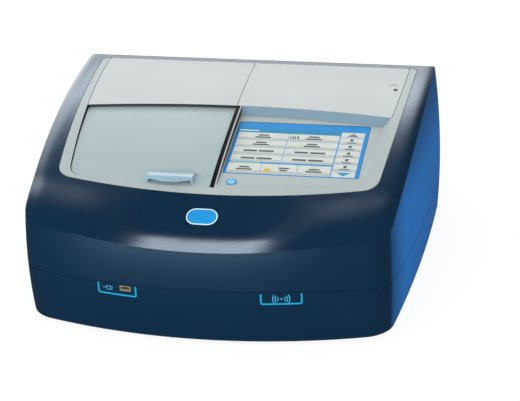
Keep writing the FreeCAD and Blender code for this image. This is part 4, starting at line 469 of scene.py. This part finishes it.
def slab(outlines, low, high, place):
    """Flat plates on outlines, between two levels, set out by a function of the place."""
    points, faces = [], []
    for outline in outlines:
        base, count = len(points), len(outline)
        points += [place(u, v, low) for u, v in outline] + [place(u, v, high) for u, v in outline]
        faces.append(list(range(base + count, base + 2 * count)))
        faces.append(list(range(base + count - 1, base - 1, -1)))
        for index in range(count):
            after = (index + 1) % count
            faces.append([base + index, base + after, base + count + after, base + count + index])
    return points, faces


def screen_place(look):
    """A function from the picture's own shares to the tilted display."""
    cos, sin = math.cos(look.slope), math.sin(look.slope)

    def place(u, v, lift):
        x = look.left + u * look.width
        along = look.start + v * look.reach
        return Vector((x, PANEL_Y + along * cos - lift * sin, PANEL_Z + along * sin + lift * cos))

    return place


def skin_of(name):
    """The surface of a CAD node, for laying marks on it."""
    mesh = NODES[name].data
    return BVHTree.FromPolygons([vertex.co for vertex in mesh.vertices],
                                [face.vertices for face in mesh.polygons])


class Patch:
    """A small flat frame on a surface, whose points are dropped onto the surface."""

    def __init__(self, tree, start, towards, right):
        hit, normal, _, _ = tree.ray_cast(start, towards)
        if hit is None:
            raise RuntimeError("A mark has no surface to lie on")
        self.tree, self.origin, self.normal = tree, hit, normal.normalized()
        if self.normal.dot(towards) > 0:
            self.normal.negate()
        self.right = (right - self.normal * right.dot(self.normal)).normalized()
        self.up = self.normal.cross(self.right)

    def at(self, u, v, lift):
        above = self.origin + self.right * u + self.up * v + self.normal * 0.02
        hit = self.tree.ray_cast(above, -self.normal)[0]
        if hit is None:
            raise RuntimeError("A mark runs off its surface")
        return hit + self.normal * lift


def strip(patch, path, width, lift, sunk=0.0002, step=0.002):
    """A line of even width along a path of straight runs, laid on a patch."""
    dense = [path[0]]
    for start, end in zip(path, path[1:]):
        count = max(int(math.dist(start, end) / step), 1)
        dense += [(start[0] + (end[0] - start[0]) * index / count,
                   start[1] + (end[1] - start[1]) * index / count)
                  for index in range(1, count + 1)]
    sides = []
    for index, (u, v) in enumerate(dense):
        before, after = dense[max(index - 1, 0)], dense[min(index + 1, len(dense) - 1)]
        first = Vector((u - before[0], v - before[1])) if index else Vector((after[0] - u, after[1] - v))
        second = Vector((after[0] - u, after[1] - v)) if index < len(dense) - 1 else first
        across = (first.normalized() + second.normalized()).normalized()
        reach = width / 2 / max(across.dot(first.normalized()), 0.5)
        sides.append(((u - across.y * reach, v + across.x * reach),
                      (u + across.y * reach, v - across.x * reach)))
    points, faces = [], []
    for left, right in sides:
        points += [patch.at(*left, lift), patch.at(*right, lift), patch.at(*left, -sunk),
                   patch.at(*right, -sunk)]
    for index in range(len(sides) - 1):
        a, b = 4 * index, 4 * index + 4
        faces += [[a, a + 1, b + 1, b], [a + 2, b + 2, b + 3, a + 3], [a, b, b + 2, a + 2],
                  [a + 1, a + 3, b + 3, b + 1]]
    last = 4 * (len(sides) - 1)
    faces += [[0, 2, 3, 1], [last, last + 1, last + 3, last + 2]]
    return points, faces


def disc(patch, u, v, radius, lift, sunk=0.0002, steps=20):
    """A round spot laid on a patch."""
    turns = [2 * math.pi * k / steps for k in range(steps)]
    outline = [(u + radius * math.cos(angle), v + radius * math.sin(angle)) for angle in turns]
    points = [patch.at(*spot, lift) for spot in outline] + [patch.at(*spot, -sunk) for spot in outline]
    faces = [list(range(steps)), list(range(2 * steps - 1, steps - 1, -1))]
    faces += [[k, k + steps, (k + 1) % steps + steps, (k + 1) % steps] for k in range(steps)]
    return points, faces


def merged(*parts):
    """Several lists of points and faces as one."""
    points, faces = [], []
    for more, sides in parts:
        base = len(points)
        points += more
        faces += [[base + index for index in face] for face in sides]
    return points, faces


def arc_path(radius, start, end, centre=(0, 0), steps=12):
    turns = [math.radians(start + (end - start) * k / steps) for k in range(steps + 1)]
    return [(centre[0] + radius * math.cos(angle), centre[1] + radius * math.sin(angle)) for angle in turns]


# Operators

class PaintShells(bpy.types.Operator):
    """Paint the hood and the base shell"""
    bl_idname = "spectro.paint_shells"
    bl_label = "Paint shells"

    def execute(self, context):
        look = context.scene.spectro_shell
        paint(body_paint(look), "hood", "base_shell")
        return {"FINISHED"}


class PaintDeck(bpy.types.Operator):
    """Finish the deck, the covers, the lid and its handle"""
    bl_idname = "spectro.paint_deck"
    bl_label = "Finish the deck"

    def execute(self, context):
        look = context.scene.spectro_shell
        paint(seamed("deck_grey", look.deck, 0.02, look), "deck_frame")
        paint(seamed("cover_grey", look.cover, 0.015, look, tuple(look.slope)), "rear_cover_left",
              "rear_cover_right")
        paint(seamed("lid_grey", look.lid, 0.02, look), "cell_lid")
        handle = surface("handle_blue", look.handle, 0.25, 0.33, 0.03, 900.0, look.texture / 2,
                         Coat_Weight=0.1)
        paint(handle, "lid_handle")
        # The black on the strip beside the lid is partly painted shade, standing for the shadow in the gap
        # between the lid and the display.
        paint(surface("strip_black_and_gap_shade", look.black, 0.5, 0.6, 0.15, Specular_IOR_Level=0.08),
              "divider_strip", "lid_rails")
        paint(surface("strip_dark", look.dark, 0.35, 0.5, 0.15), "cell_tray", "barcode_reader",
              "filter_cover", "fan_frame", "fan_rotor", "mains_inlet", "fuse_drawer", "mains_rocker")
        return {"FINISHED"}


class BuildScreen(bpy.types.Operator):
    """Build the picture that shows on the touch display"""
    bl_idname = "spectro.build_screen"
    bl_label = "Build the screen"

    def execute(self, context):
        look = context.scene.spectro_screen
        place = screen_place(look)
        glow = look.glow
        glass, tree, shader = bare("touch_glass_black", Specular_IOR_Level=0.5, Base_Color=srgb(24, 60, 84))
        smears = use_group(tree, "Grain", Scale=40.0, Low=0.05, High=0.12)
        wire(tree, (smears.outputs["Roughness"], shader.inputs["Roughness"]))
        paint(glass, "touch_glass")
        paint(surface("module_frame", srgb(60, 62, 64), 0.4, 0.5), "lcd_module")
        ratio = look.width / look.reach

        def plates(name, parts, low, high, base, shine=glow):
            outlines = [rounded(*part[:4], part[4] if len(part) > 4 else 0.004, 3) for part in parts]
            mesh = slab(outlines, low * MM, high * MM, place)
            add_piece(name, *mesh, printed(name, base, shine), "housing", "screen_module")

        rows, low, top = 4, 0.235, 0.80
        pitch = (top - low) / rows
        columns = ((0.022, 0.402), (0.406, 0.785))
        tiles = [(left, low + pitch * row + 0.004, right, low + pitch * (row + 1) - 0.004)
                 for row in range(rows) for left, right in columns]
        bottom = [(0.022, 0.022, 0.268, 0.21), (0.272, 0.022, 0.535, 0.21), (0.539, 0.022, 0.785, 0.21)]
        side_low, side_pitch = 0.135, 0.126
        side = [(0.794, side_low + side_pitch * k + 0.004, 0.968, side_low + side_pitch * (k + 1) - 0.004)
                for k in range(5)]
        arrows = [(0.794, 0.022, 0.968, 0.13), (0.794, 0.77, 0.968, 0.865)]
        plates("screen_field", [(0.004, 0.005, 0.996, 0.995, 0.012)], -0.3, -0.26, look.field)
        plates("screen_header", [(0.012, 0.803, 0.787, 0.868)], -0.26, -0.24, look.header)
        fields = tiles + bottom + side + arrows
        plates("screen_fields", fields, -0.26, -0.22, look.tile)
        shading = [(left + 0.004, start + 0.006, right - 0.004, start + 0.3 * (end - start))
                   for left, start, right, end in tiles + bottom + side]
        plates("screen_shading", shading, -0.22, -0.2, look.tile_low)
        words = []
        for left, start, right, end in tiles[:4]:
            middle, height = (left + right) / 2, (start + end) / 2
            words.append((middle - 0.115, height - 0.016, middle - 0.012, height + 0.016))
            words.append((middle + 0.002, height - 0.016, middle + 0.115, height + 0.016))
        for left, start, right, end in tiles[4:] + [bottom[0], bottom[2]]:
            middle, height = (left + right) / 2, (start + end) / 2
            words.append((middle - 0.04, height + 0.008, middle + 0.04, height + 0.034))
            words.append((middle - 0.06, height - 0.032, middle + 0.06, height - 0.006))
        words += [(0.40, 0.125, 0.478, 0.15), (0.41, 0.085, 0.468, 0.11)]
        words += [(0.417 + 0.018 * k, 0.70, 0.417 + 0.018 * k + (0.012 if k % 2 else 0.007), 0.752)
                  for k in range(4)]
        for left, start, right, end in side:
            middle = (left + right) / 2
            words.append((middle - 0.035, start + 0.018, middle + 0.035, start + 0.038))
            words.append((middle - 0.012, start + 0.056, middle + 0.012, start + 0.098))
        plates("screen_bars", words, -0.2, -0.18, look.ink, glow * 0.6)
        plates("screen_title_bar", [(0.022, 0.826, 0.17, 0.846)], -0.24, -0.22, srgb(190, 226, 238))
        plates("screen_green_line", [(0.03, 0.216, 0.25, 0.226)], -0.26, -0.22, look.green)
        icon = [(0.293, 0.07, 0.345, 0.11), (0.315, 0.11, 0.332, 0.14)]
        plates("screen_yellow_icon", icon, -0.2, -0.18, look.yellow)
        for name, centre, size, up, base in (("screen_arrow_up", (0.881, 0.815), 0.05, 1, look.grey),
                                             ("screen_arrow_down", (0.881, 0.075), 0.055, -1, look.teal)):
            triangle = [(centre[0] - size, centre[1] - up * size * ratio * 0.45),
                        (centre[0] + size, centre[1] - up * size * ratio * 0.45),
                        (centre[0], centre[1] + up * size * ratio * 0.45)]
            if up < 0:
                triangle.reverse()
            mesh = slab([triangle], -0.22 * MM, -0.19 * MM, place)
            add_piece(name, *mesh, printed(name, base, glow), "housing", "screen_module")
        return {"FINISHED"}


class BuildButton(bpy.types.Operator):
    """Colour the power button and print its symbol"""
    bl_idname = "spectro.build_button"
    bl_label = "Build the button"

    def execute(self, context):
        look = context.scene.spectro_marks
        paint(surface("button_blue", look.button, 0.3, 0.38, 0.03, 700.0, 0.00001), "power_button")
        tilt = context.scene.spectro_screen.slope
        centre = Vector((BUTTON_X, PANEL_Y + BUTTON_REACH * math.cos(tilt),
                         PANEL_Z + BUTTON_REACH * math.sin(tilt)))
        out = Vector((0, -math.sin(tilt), math.cos(tilt)))
        patch = Patch(skin_of("power_button"), centre + out * 0.02, -out, Vector((1, 0, 0)))
        arc = strip(patch, arc_path(0.003, 120, 420), 0.0008, 0.00012, 0.0001, 0.001)
        bar = strip(patch, [(0, 0.001), (0, 0.0042)], 0.0008, 0.00012, 0.0001, 0.001)
        add_piece("power_symbol", *merged(arc, bar), printed("symbol_print", look.symbol, 0.1), "button",
                  "button_blue")
        return {"FINISHED"}


class BuildMarks(bpy.types.Operator):
    """Lay the blank plate and the printed marks on the front and the cover"""
    bl_idname = "spectro.build_marks"
    bl_label = "Build the marks"

    def execute(self, context):
        look = context.scene.spectro_marks
        right = Vector((1, 0, 0))
        hood, base, cover = skin_of("hood"), skin_of("base_shell"), skin_of("rear_cover_right")

        patch = Patch(hood, Vector((PLATE_X, PLATE_Y, 0.4)), Vector((0, 0, -1)), right)
        wide, tall = look.plate_width / 2, look.plate_height / 2
        rings = []
        steps = ((0, -0.0003), (0, 0.0005), (0.0004, 0.0008), (0.0012, 0.0008), (0.0015, 0.0004))
        for inset, lift in steps:
            outline = rounded(-wide + inset, -tall + inset, wide - inset, tall - inset,
                              PLATE_CORNER - inset, 8)
            rings.append([patch.at(u, v, lift) for u, v in outline])
        count = len(rings[0])
        points = [point for ring in rings for point in ring]
        faces = [[count * row + k, count * row + (k + 1) % count, count * (row + 1) + (k + 1) % count,
                  count * (row + 1) + k] for row in range(len(rings) - 1) for k in range(count)]
        rim = printed("plate_rim", look.plate_rim)
        add_piece("blank_plate_rim", points, faces, rim, "housing", "cover_grey", True)
        inner = rounded(-wide + 0.0014, -tall + 0.0014, wide - 0.0014, tall - 0.0014, 0.0108, 8)
        face = [patch.at(u, v, 0.0005) for u, v in inner] + [patch.at(0, 0, 0.0009)]
        fan = [[k, (k + 1) % len(inner), len(inner)] for k in range(len(inner))]
        plate = surface("plate_blue", look.plate, 0.2, 0.26, 0.04, 800.0, 0.00001, Coat_Weight=0.6)
        add_piece("blank_plate", face, fan, plate, "housing", "button_blue", True)

        # The printed brackets get a faint glow, which is painted light because the ink gives off none.
        cyan = printed("bracket_print_painted_glow", look.cyan, 0.05)
        pale = printed("picture_print", look.print_grey)
        half, tall = look.bracket_width / 2, look.bracket_height
        for side, name in ((-1, "left"), (1, "right")):
            seam = SEAM_FRONT - SEAM_FALL * (BRACKET_Y - FRONT_Y) / DEPTH
            start = Vector((side * look.bracket_x, -0.4, seam - tall / 2))
            patch = Patch(base, start, Vector((0, 1, 0)), right)
            top = tall / 2 - 0.0012
            path = [(-half, top), (-half, -top + 0.0015), (-half + 0.0015, -top), (half - 0.0015, -top),
                    (half, -top + 0.0015), (half, top)]
            add_piece("bracket_" + name, *strip(patch, path, look.line, 0.00015), cyan, "housing",
                      "button_blue")
            if side > 0:
                waves = [disc(patch, 0, 0, 0.0013, 0.00014)]
                for radius in (0.0045, 0.0075, 0.0105):
                    for turn in (0, 180):
                        arc = arc_path(radius, turn - 34, turn + 34)
                        waves.append(strip(patch, arc, 0.0013, 0.00014, step=0.001))
                add_piece("waves_picture", *merged(*waves), pale, "housing", "button_blue")
            else:
                cord = [(-0.019, 0.001), (-0.0135, 0.001)]
                body = [(-0.0135, -0.0015), (-0.0135, 0.0035), (-0.0085, 0.0035), (-0.0085, -0.0015),
                        (-0.0135, -0.0015)]
                pins = [[(-0.0085, level), (-0.0055, level)] for level in (0.0025, -0.0005)]
                lines = [strip(patch, line, 0.0009, 0.00014, step=0.001) for line in (cord, body, *pins)]
                add_piece("plug_picture", *merged(*lines), pale, "housing", "button_blue")

        patch = Patch(cover, Vector((SENSOR_X, SENSOR_Y, 0.4)), Vector((0, 0, -1)), right)
        arcs = []
        for radius, start in ((0.0035, 10), (0.0065, 15)):
            arc = arc_path(radius, start, 180 - start, (0.001, -0.0045))
            arcs.append(strip(patch, arc, 0.0011, 0.0001, step=0.001))
        ink = printed("sensor_print", srgb(112, 124, 132))
        add_piece("sensor_picture", *merged(*arcs), ink, "housing", "cover_grey")
        return {"FINISHED"}


class PaintWorks(bpy.types.Operator):
    """Finish everything inside, below and behind the shells"""
    bl_idname = "spectro.paint_works"
    bl_label = "Finish the works"

    def execute(self, context):
        look = context.scene.spectro_shell
        steel = surface("sheet_steel", srgb(176, 180, 184), 0.24, 0.42, 0.03, 60.0, 0.00001, "Brushed",
                        Metallic=0.35)
        paint(steel, "chassis_plate", "power_supply", "rail_bridge", "rear_panel", "lamp_cover",
              "monochromator_cover")
        turned = surface("screw_steel", srgb(150, 152, 156), 0.2, 0.3, 0.05, 200.0, 0.00001, Metallic=0.5)
        paint(turned, "base_screws", "rear_screws", "board_standoffs")
        cast = surface("cast_metal", srgb(160, 164, 168), 0.4, 0.55, 0.06, 500.0, 0.00008, Metallic=0.35)
        paint(cast, "monochromator_casting", "lamp_bracket")
        black = surface("black_anodised", srgb(62, 64, 70), 0.42, 0.55, 0.12, 900.0, 0.00001, Metallic=0.2)
        paint(black, "square_cell_holder", "round_cell_holder", "beam_splitter", "reference_detector",
              "sample_detector", "slit_plates", "grating_turret", "filter_wheel")
        paint(surface("motor_black", srgb(34, 35, 38), 0.35, 0.5, 0.1, 700.0, 0.00002, Metallic=0.6),
              "turret_motor", "filter_motor")
        paint(surface("rubber", srgb(22, 22, 22), 0.7, 0.85, 0.15, 600.0, 0.00004), "rubber_feet",
              "lid_seal")
        paint(surface("foam", srgb(64, 64, 66), 0.9, 1.0, 0.25, 260.0, 0.0006), "filter_pad")
        mirror = surface("mirror_coat", srgb(232, 236, 240), 0.02, 0.05, 0.01, 200.0, 0.000001,
                         Metallic=1.0)
        paint(mirror, "collimator_mirror", "focus_mirror", "lamp_mirror", "diffraction_grating")
        paint(surface("circuit_green", srgb(20, 84, 48), 0.3, 0.45, 0.2, 300.0, 0.00005, Coat_Weight=0.4),
              "main_board", "display_board", "rfid_board")
        paint(clear_glass("clear_window"), "tray_windows")
        paint(clear_glass("lamp_glass", (1, 0.97, 0.92, 1), 0.4), "halogen_lamp", "deuterium_lamp")
        plated = surface("plated_metal", srgb(206, 200, 186), 0.16, 0.28, 0.03, 300.0, 0.00001, "Brushed",
                         Metallic=1.0)
        paint(plated, "network_port")
        paint(surface("warm_metal", srgb(196, 184, 156), 0.3, 0.45, 0.03, 300.0, 0.00001, Metallic=0.4),
              "usb_ports")
        return {"FINISHED"}


class BuildStudio(bpy.types.Operator):
    """Set up the floor, the lights, the world and the camera"""
    bl_idname = "spectro.build_studio"
    bl_label = "Build the studio"

    def execute(self, context):
        look = context.scene.spectro_studio
        scene = context.scene
        scene.view_settings.view_transform = "Standard"
        self.lay_floor(look)
        self.set_world(scene, look)
        self.hang_lamp("key_lamp", *KEY_LAMP, look.key)
        self.hang_lamp("fill_lamp", *FILL_LAMP, look.fill)
        self.aim_camera(scene, look)
        return {"FINISHED"}

    def lay_floor(self, look):
        """A wide round floor, lit up a little where the camera sees it."""
        steps, radius = 64, 6.0
        turns = [2 * math.pi * k / steps for k in range(steps)]
        points = [(radius * math.cos(angle), radius * math.sin(angle), 0) for angle in turns]
        mesh = bpy.data.meshes.new("studio_floor")
        mesh.from_pydata(points, [], [list(range(steps))])
        floor = bpy.data.objects.new("studio_floor", mesh)
        bpy.context.scene.collection.objects.link(floor)
        material, tree, shader = bare("floor_paper", Base_Color=tuple(look.floor), Roughness=0.9)
        place = tree.nodes.new("ShaderNodeTexCoord")
        path = tree.nodes.new("ShaderNodeLightPath")
        plain, mirrored = tree.nodes.new("ShaderNodeEmission"), tree.nodes.new("ShaderNodeEmission")
        plain.inputs["Strength"].default_value = 1.1
        wire(tree, (self.mirrored_floor(tree, place.outputs["Object"], look), mirrored.inputs["Strength"]))
        share = math_node(tree, "MULTIPLY", path.outputs["Is Camera Ray"], 0.8)
        blend, switch = tree.nodes.new("ShaderNodeMixShader"), tree.nodes.new("ShaderNodeMixShader")
        wire(tree, (share, blend.inputs[0]), (shader.outputs[0], blend.inputs[1]),
             (plain.outputs[0], blend.inputs[2]), (path.outputs["Is Glossy Ray"], switch.inputs[0]),
             (blend.outputs[0], switch.inputs[1]), (mirrored.outputs[0], switch.inputs[2]),
             (switch.outputs[0], tree.nodes["Material Output"].inputs[0]))
        mesh.materials.append(material)

    def zone(self, tree, place, turn, full, none):
        """How far a direction lies in the part of the studio about one bearing, from +Y towards -X."""
        flat, level = tree.nodes.new("ShaderNodeVectorMath"), tree.nodes.new("ShaderNodeVectorMath")
        flat.operation, level.operation = "MULTIPLY", "NORMALIZE"
        flat.inputs[1].default_value = (1, 1, 0)
        along = tree.nodes.new("ShaderNodeVectorMath")
        along.operation = "DOT_PRODUCT"
        along.inputs[1].default_value = (-math.sin(math.radians(turn)), math.cos(math.radians(turn)), 0)
        wire(tree, (place, flat.inputs[0]), (flat.outputs[0], level.inputs[0]),
             (level.outputs[0], along.inputs[0]))
        return smooth_share(tree, along.outputs["Value"], math.cos(math.radians(none)),
                            math.cos(math.radians(full)))

    def mirrored_floor(self, tree, place, look):
        """The floor's brightness in reflections: pale before the object, dark elsewhere."""
        front = self.zone(tree, place, *FLOOR_ZONE)
        reach = tree.nodes.new("ShaderNodeVectorMath")
        reach.operation = "LENGTH"
        wire(tree, (place, reach.inputs[0]))
        away = smooth_share(tree, reach.outputs["Value"], 0.3, 0.9)
        return math_node(tree, "MULTIPLY_ADD", math_node(tree, "MULTIPLY", front, away), look.front * 0.5,
                         look.dark)

    def set_world(self, scene, look):
        """White to the camera, plain light all round, and bright and dark parts in reflections."""
        world = bpy.data.worlds.new("studio_world")
        scene.world = world
        world.use_nodes = True
        tree = world.node_tree
        back = tree.nodes["Background"]
        place = tree.nodes.new("ShaderNodeTexCoord")
        height = tree.nodes.new("ShaderNodeSeparateXYZ")
        wire(tree, (place.outputs["Generated"], height.inputs[0]))
        behind = self.zone(tree, place.outputs["Generated"], *REAR_ZONE)
        left = self.zone(tree, place.outputs["Generated"], *REAR_LEFT_ZONE)
        core = self.zone(tree, place.outputs["Generated"], *REAR_CORE_ZONE)
        before = self.zone(tree, place.outputs["Generated"], *FRONT_ZONE)
        low = smooth_share(tree, height.outputs["Z"], 0.67, 0.55)
        band = smooth_share(tree, height.outputs["Z"], 0.36, 0.54)
        lower = smooth_share(tree, height.outputs["Z"], 0.5, 0.08)
        rear = math_node(tree, "MULTIPLY_ADD", left, 1.1, behind)
        rear = math_node(tree, "MULTIPLY_ADD", math_node(tree, "MULTIPLY", core, band), 2.9, rear)
        rear_glow = math_node(tree, "MULTIPLY", math_node(tree, "MULTIPLY", rear, low), look.back)
        front_glow = math_node(tree, "MULTIPLY", math_node(tree, "MULTIPLY", before, lower), look.front)
        mirrored = math_node(tree, "ADD", math_node(tree, "ADD", rear_glow, front_glow), look.dark)
        path = tree.nodes.new("ShaderNodeLightPath")
        glossy = math_node(tree, "MULTIPLY", path.outputs["Is Glossy Ray"], mirrored)
        plain = math_node(tree, "SUBTRACT", 1.0, path.outputs["Is Glossy Ray"])
        ahead = self.zone(tree, place.outputs["Generated"], *FRONT_WIDE_ZONE)
        ahead = math_node(tree, "MULTIPLY", ahead, smooth_share(tree, height.outputs["Z"], 0.6, 0.2))
        around = math_node(tree, "MULTIPLY_ADD", ahead, look.sky * look.bounce, look.sky)
        seen = math_node(tree, "MULTIPLY_ADD", path.outputs["Is Camera Ray"],
                         math_node(tree, "SUBTRACT", 1.0, around), around)
        strength = math_node(tree, "MULTIPLY_ADD", plain, seen, glossy)
        back.inputs["Color"].default_value = (1, 1, 1, 1)
        wire(tree, (strength, back.inputs["Strength"]))

    def hang_lamp(self, name, place, size, power):
        lamp = bpy.data.lights.new(name, "AREA")
        lamp.shape = "DISK"
        lamp.size = size
        lamp.energy = power
        item = bpy.data.objects.new(name, lamp)
        bpy.context.scene.collection.objects.link(item)
        item.location = place
        item.rotation_euler = (Vector((0, 0, 0.1)) - Vector(place)).to_track_quat("-Z", "Y").to_euler()
        item.visible_glossy = False

    def aim_camera(self, scene, look):
        """The photograph's view: the turn, height, roll and aim that its edges give."""
        a, e = look.azimuth, look.elevation
        forward = Vector((-math.sin(a) * math.cos(e), math.cos(a) * math.cos(e), -math.sin(e)))
        level = Vector((math.cos(a), math.sin(a), 0))
        upward = level.cross(forward)
        right = level * math.cos(look.roll) - upward * math.sin(look.roll)
        up = level * math.sin(look.roll) + upward * math.cos(look.roll)
        place = Vector((0, 0, 0.1)) - forward * look.distance
        aim = (forward + right * look.aim_x + up * look.aim_y).normalized()
        right = (right - aim * right.dot(aim)).normalized()
        up = right.cross(aim)
        camera = bpy.data.cameras.new("photo_camera")
        camera.sensor_width = 36
        camera.lens = look.lens / MM
        camera.clip_start, camera.clip_end = 0.05, 50
        item = bpy.data.objects.new("photo_camera", camera)
        scene.collection.objects.link(item)
        item.matrix_world = Matrix((right, up, -aim)).transposed().to_4x4()
        item.location = place
        scene.camera = item


class SpectroPanel(bpy.types.Panel):
    """Every step of the model, in order"""
    bl_idname = "VIEW3D_PT_spectro"
    bl_label = "Spectrophotometer"
    bl_space_type = "VIEW_3D"
    bl_region_type = "UI"
    bl_category = "Spectrophotometer"

    def draw(self, context):
        for step in STEPS:
            self.layout.operator(step.bl_idname)
        for holder in LOOKS:
            look = getattr(context.scene, holder)
            for name in look.__annotations__:
                self.layout.prop(look, name)


STEPS = (PaintShells, PaintDeck, BuildScreen, BuildButton, BuildMarks, PaintWorks, BuildStudio)
LOOKS = {"spectro_shell": ShellLook, "spectro_screen": ScreenLook, "spectro_marks": MarkLook,
         "spectro_studio": StudioLook}


def register():
    for item in (*LOOKS.values(), *STEPS, SpectroPanel):
        bpy.utils.register_class(item)
    for name, group in LOOKS.items():
        setattr(bpy.types.Scene, name, bpy.props.PointerProperty(type=group))


def unregister():
    for name in LOOKS:
        delattr(bpy.types.Scene, name)
    for item in reversed((*LOOKS.values(), *STEPS, SpectroPanel)):
        bpy.utils.unregister_class(item)


def main():
    register()
    for step in STEPS:
        group, action = step.bl_idname.split(".")
        getattr(getattr(bpy.ops, group), action)()


if __name__ == "__main__":
    main()
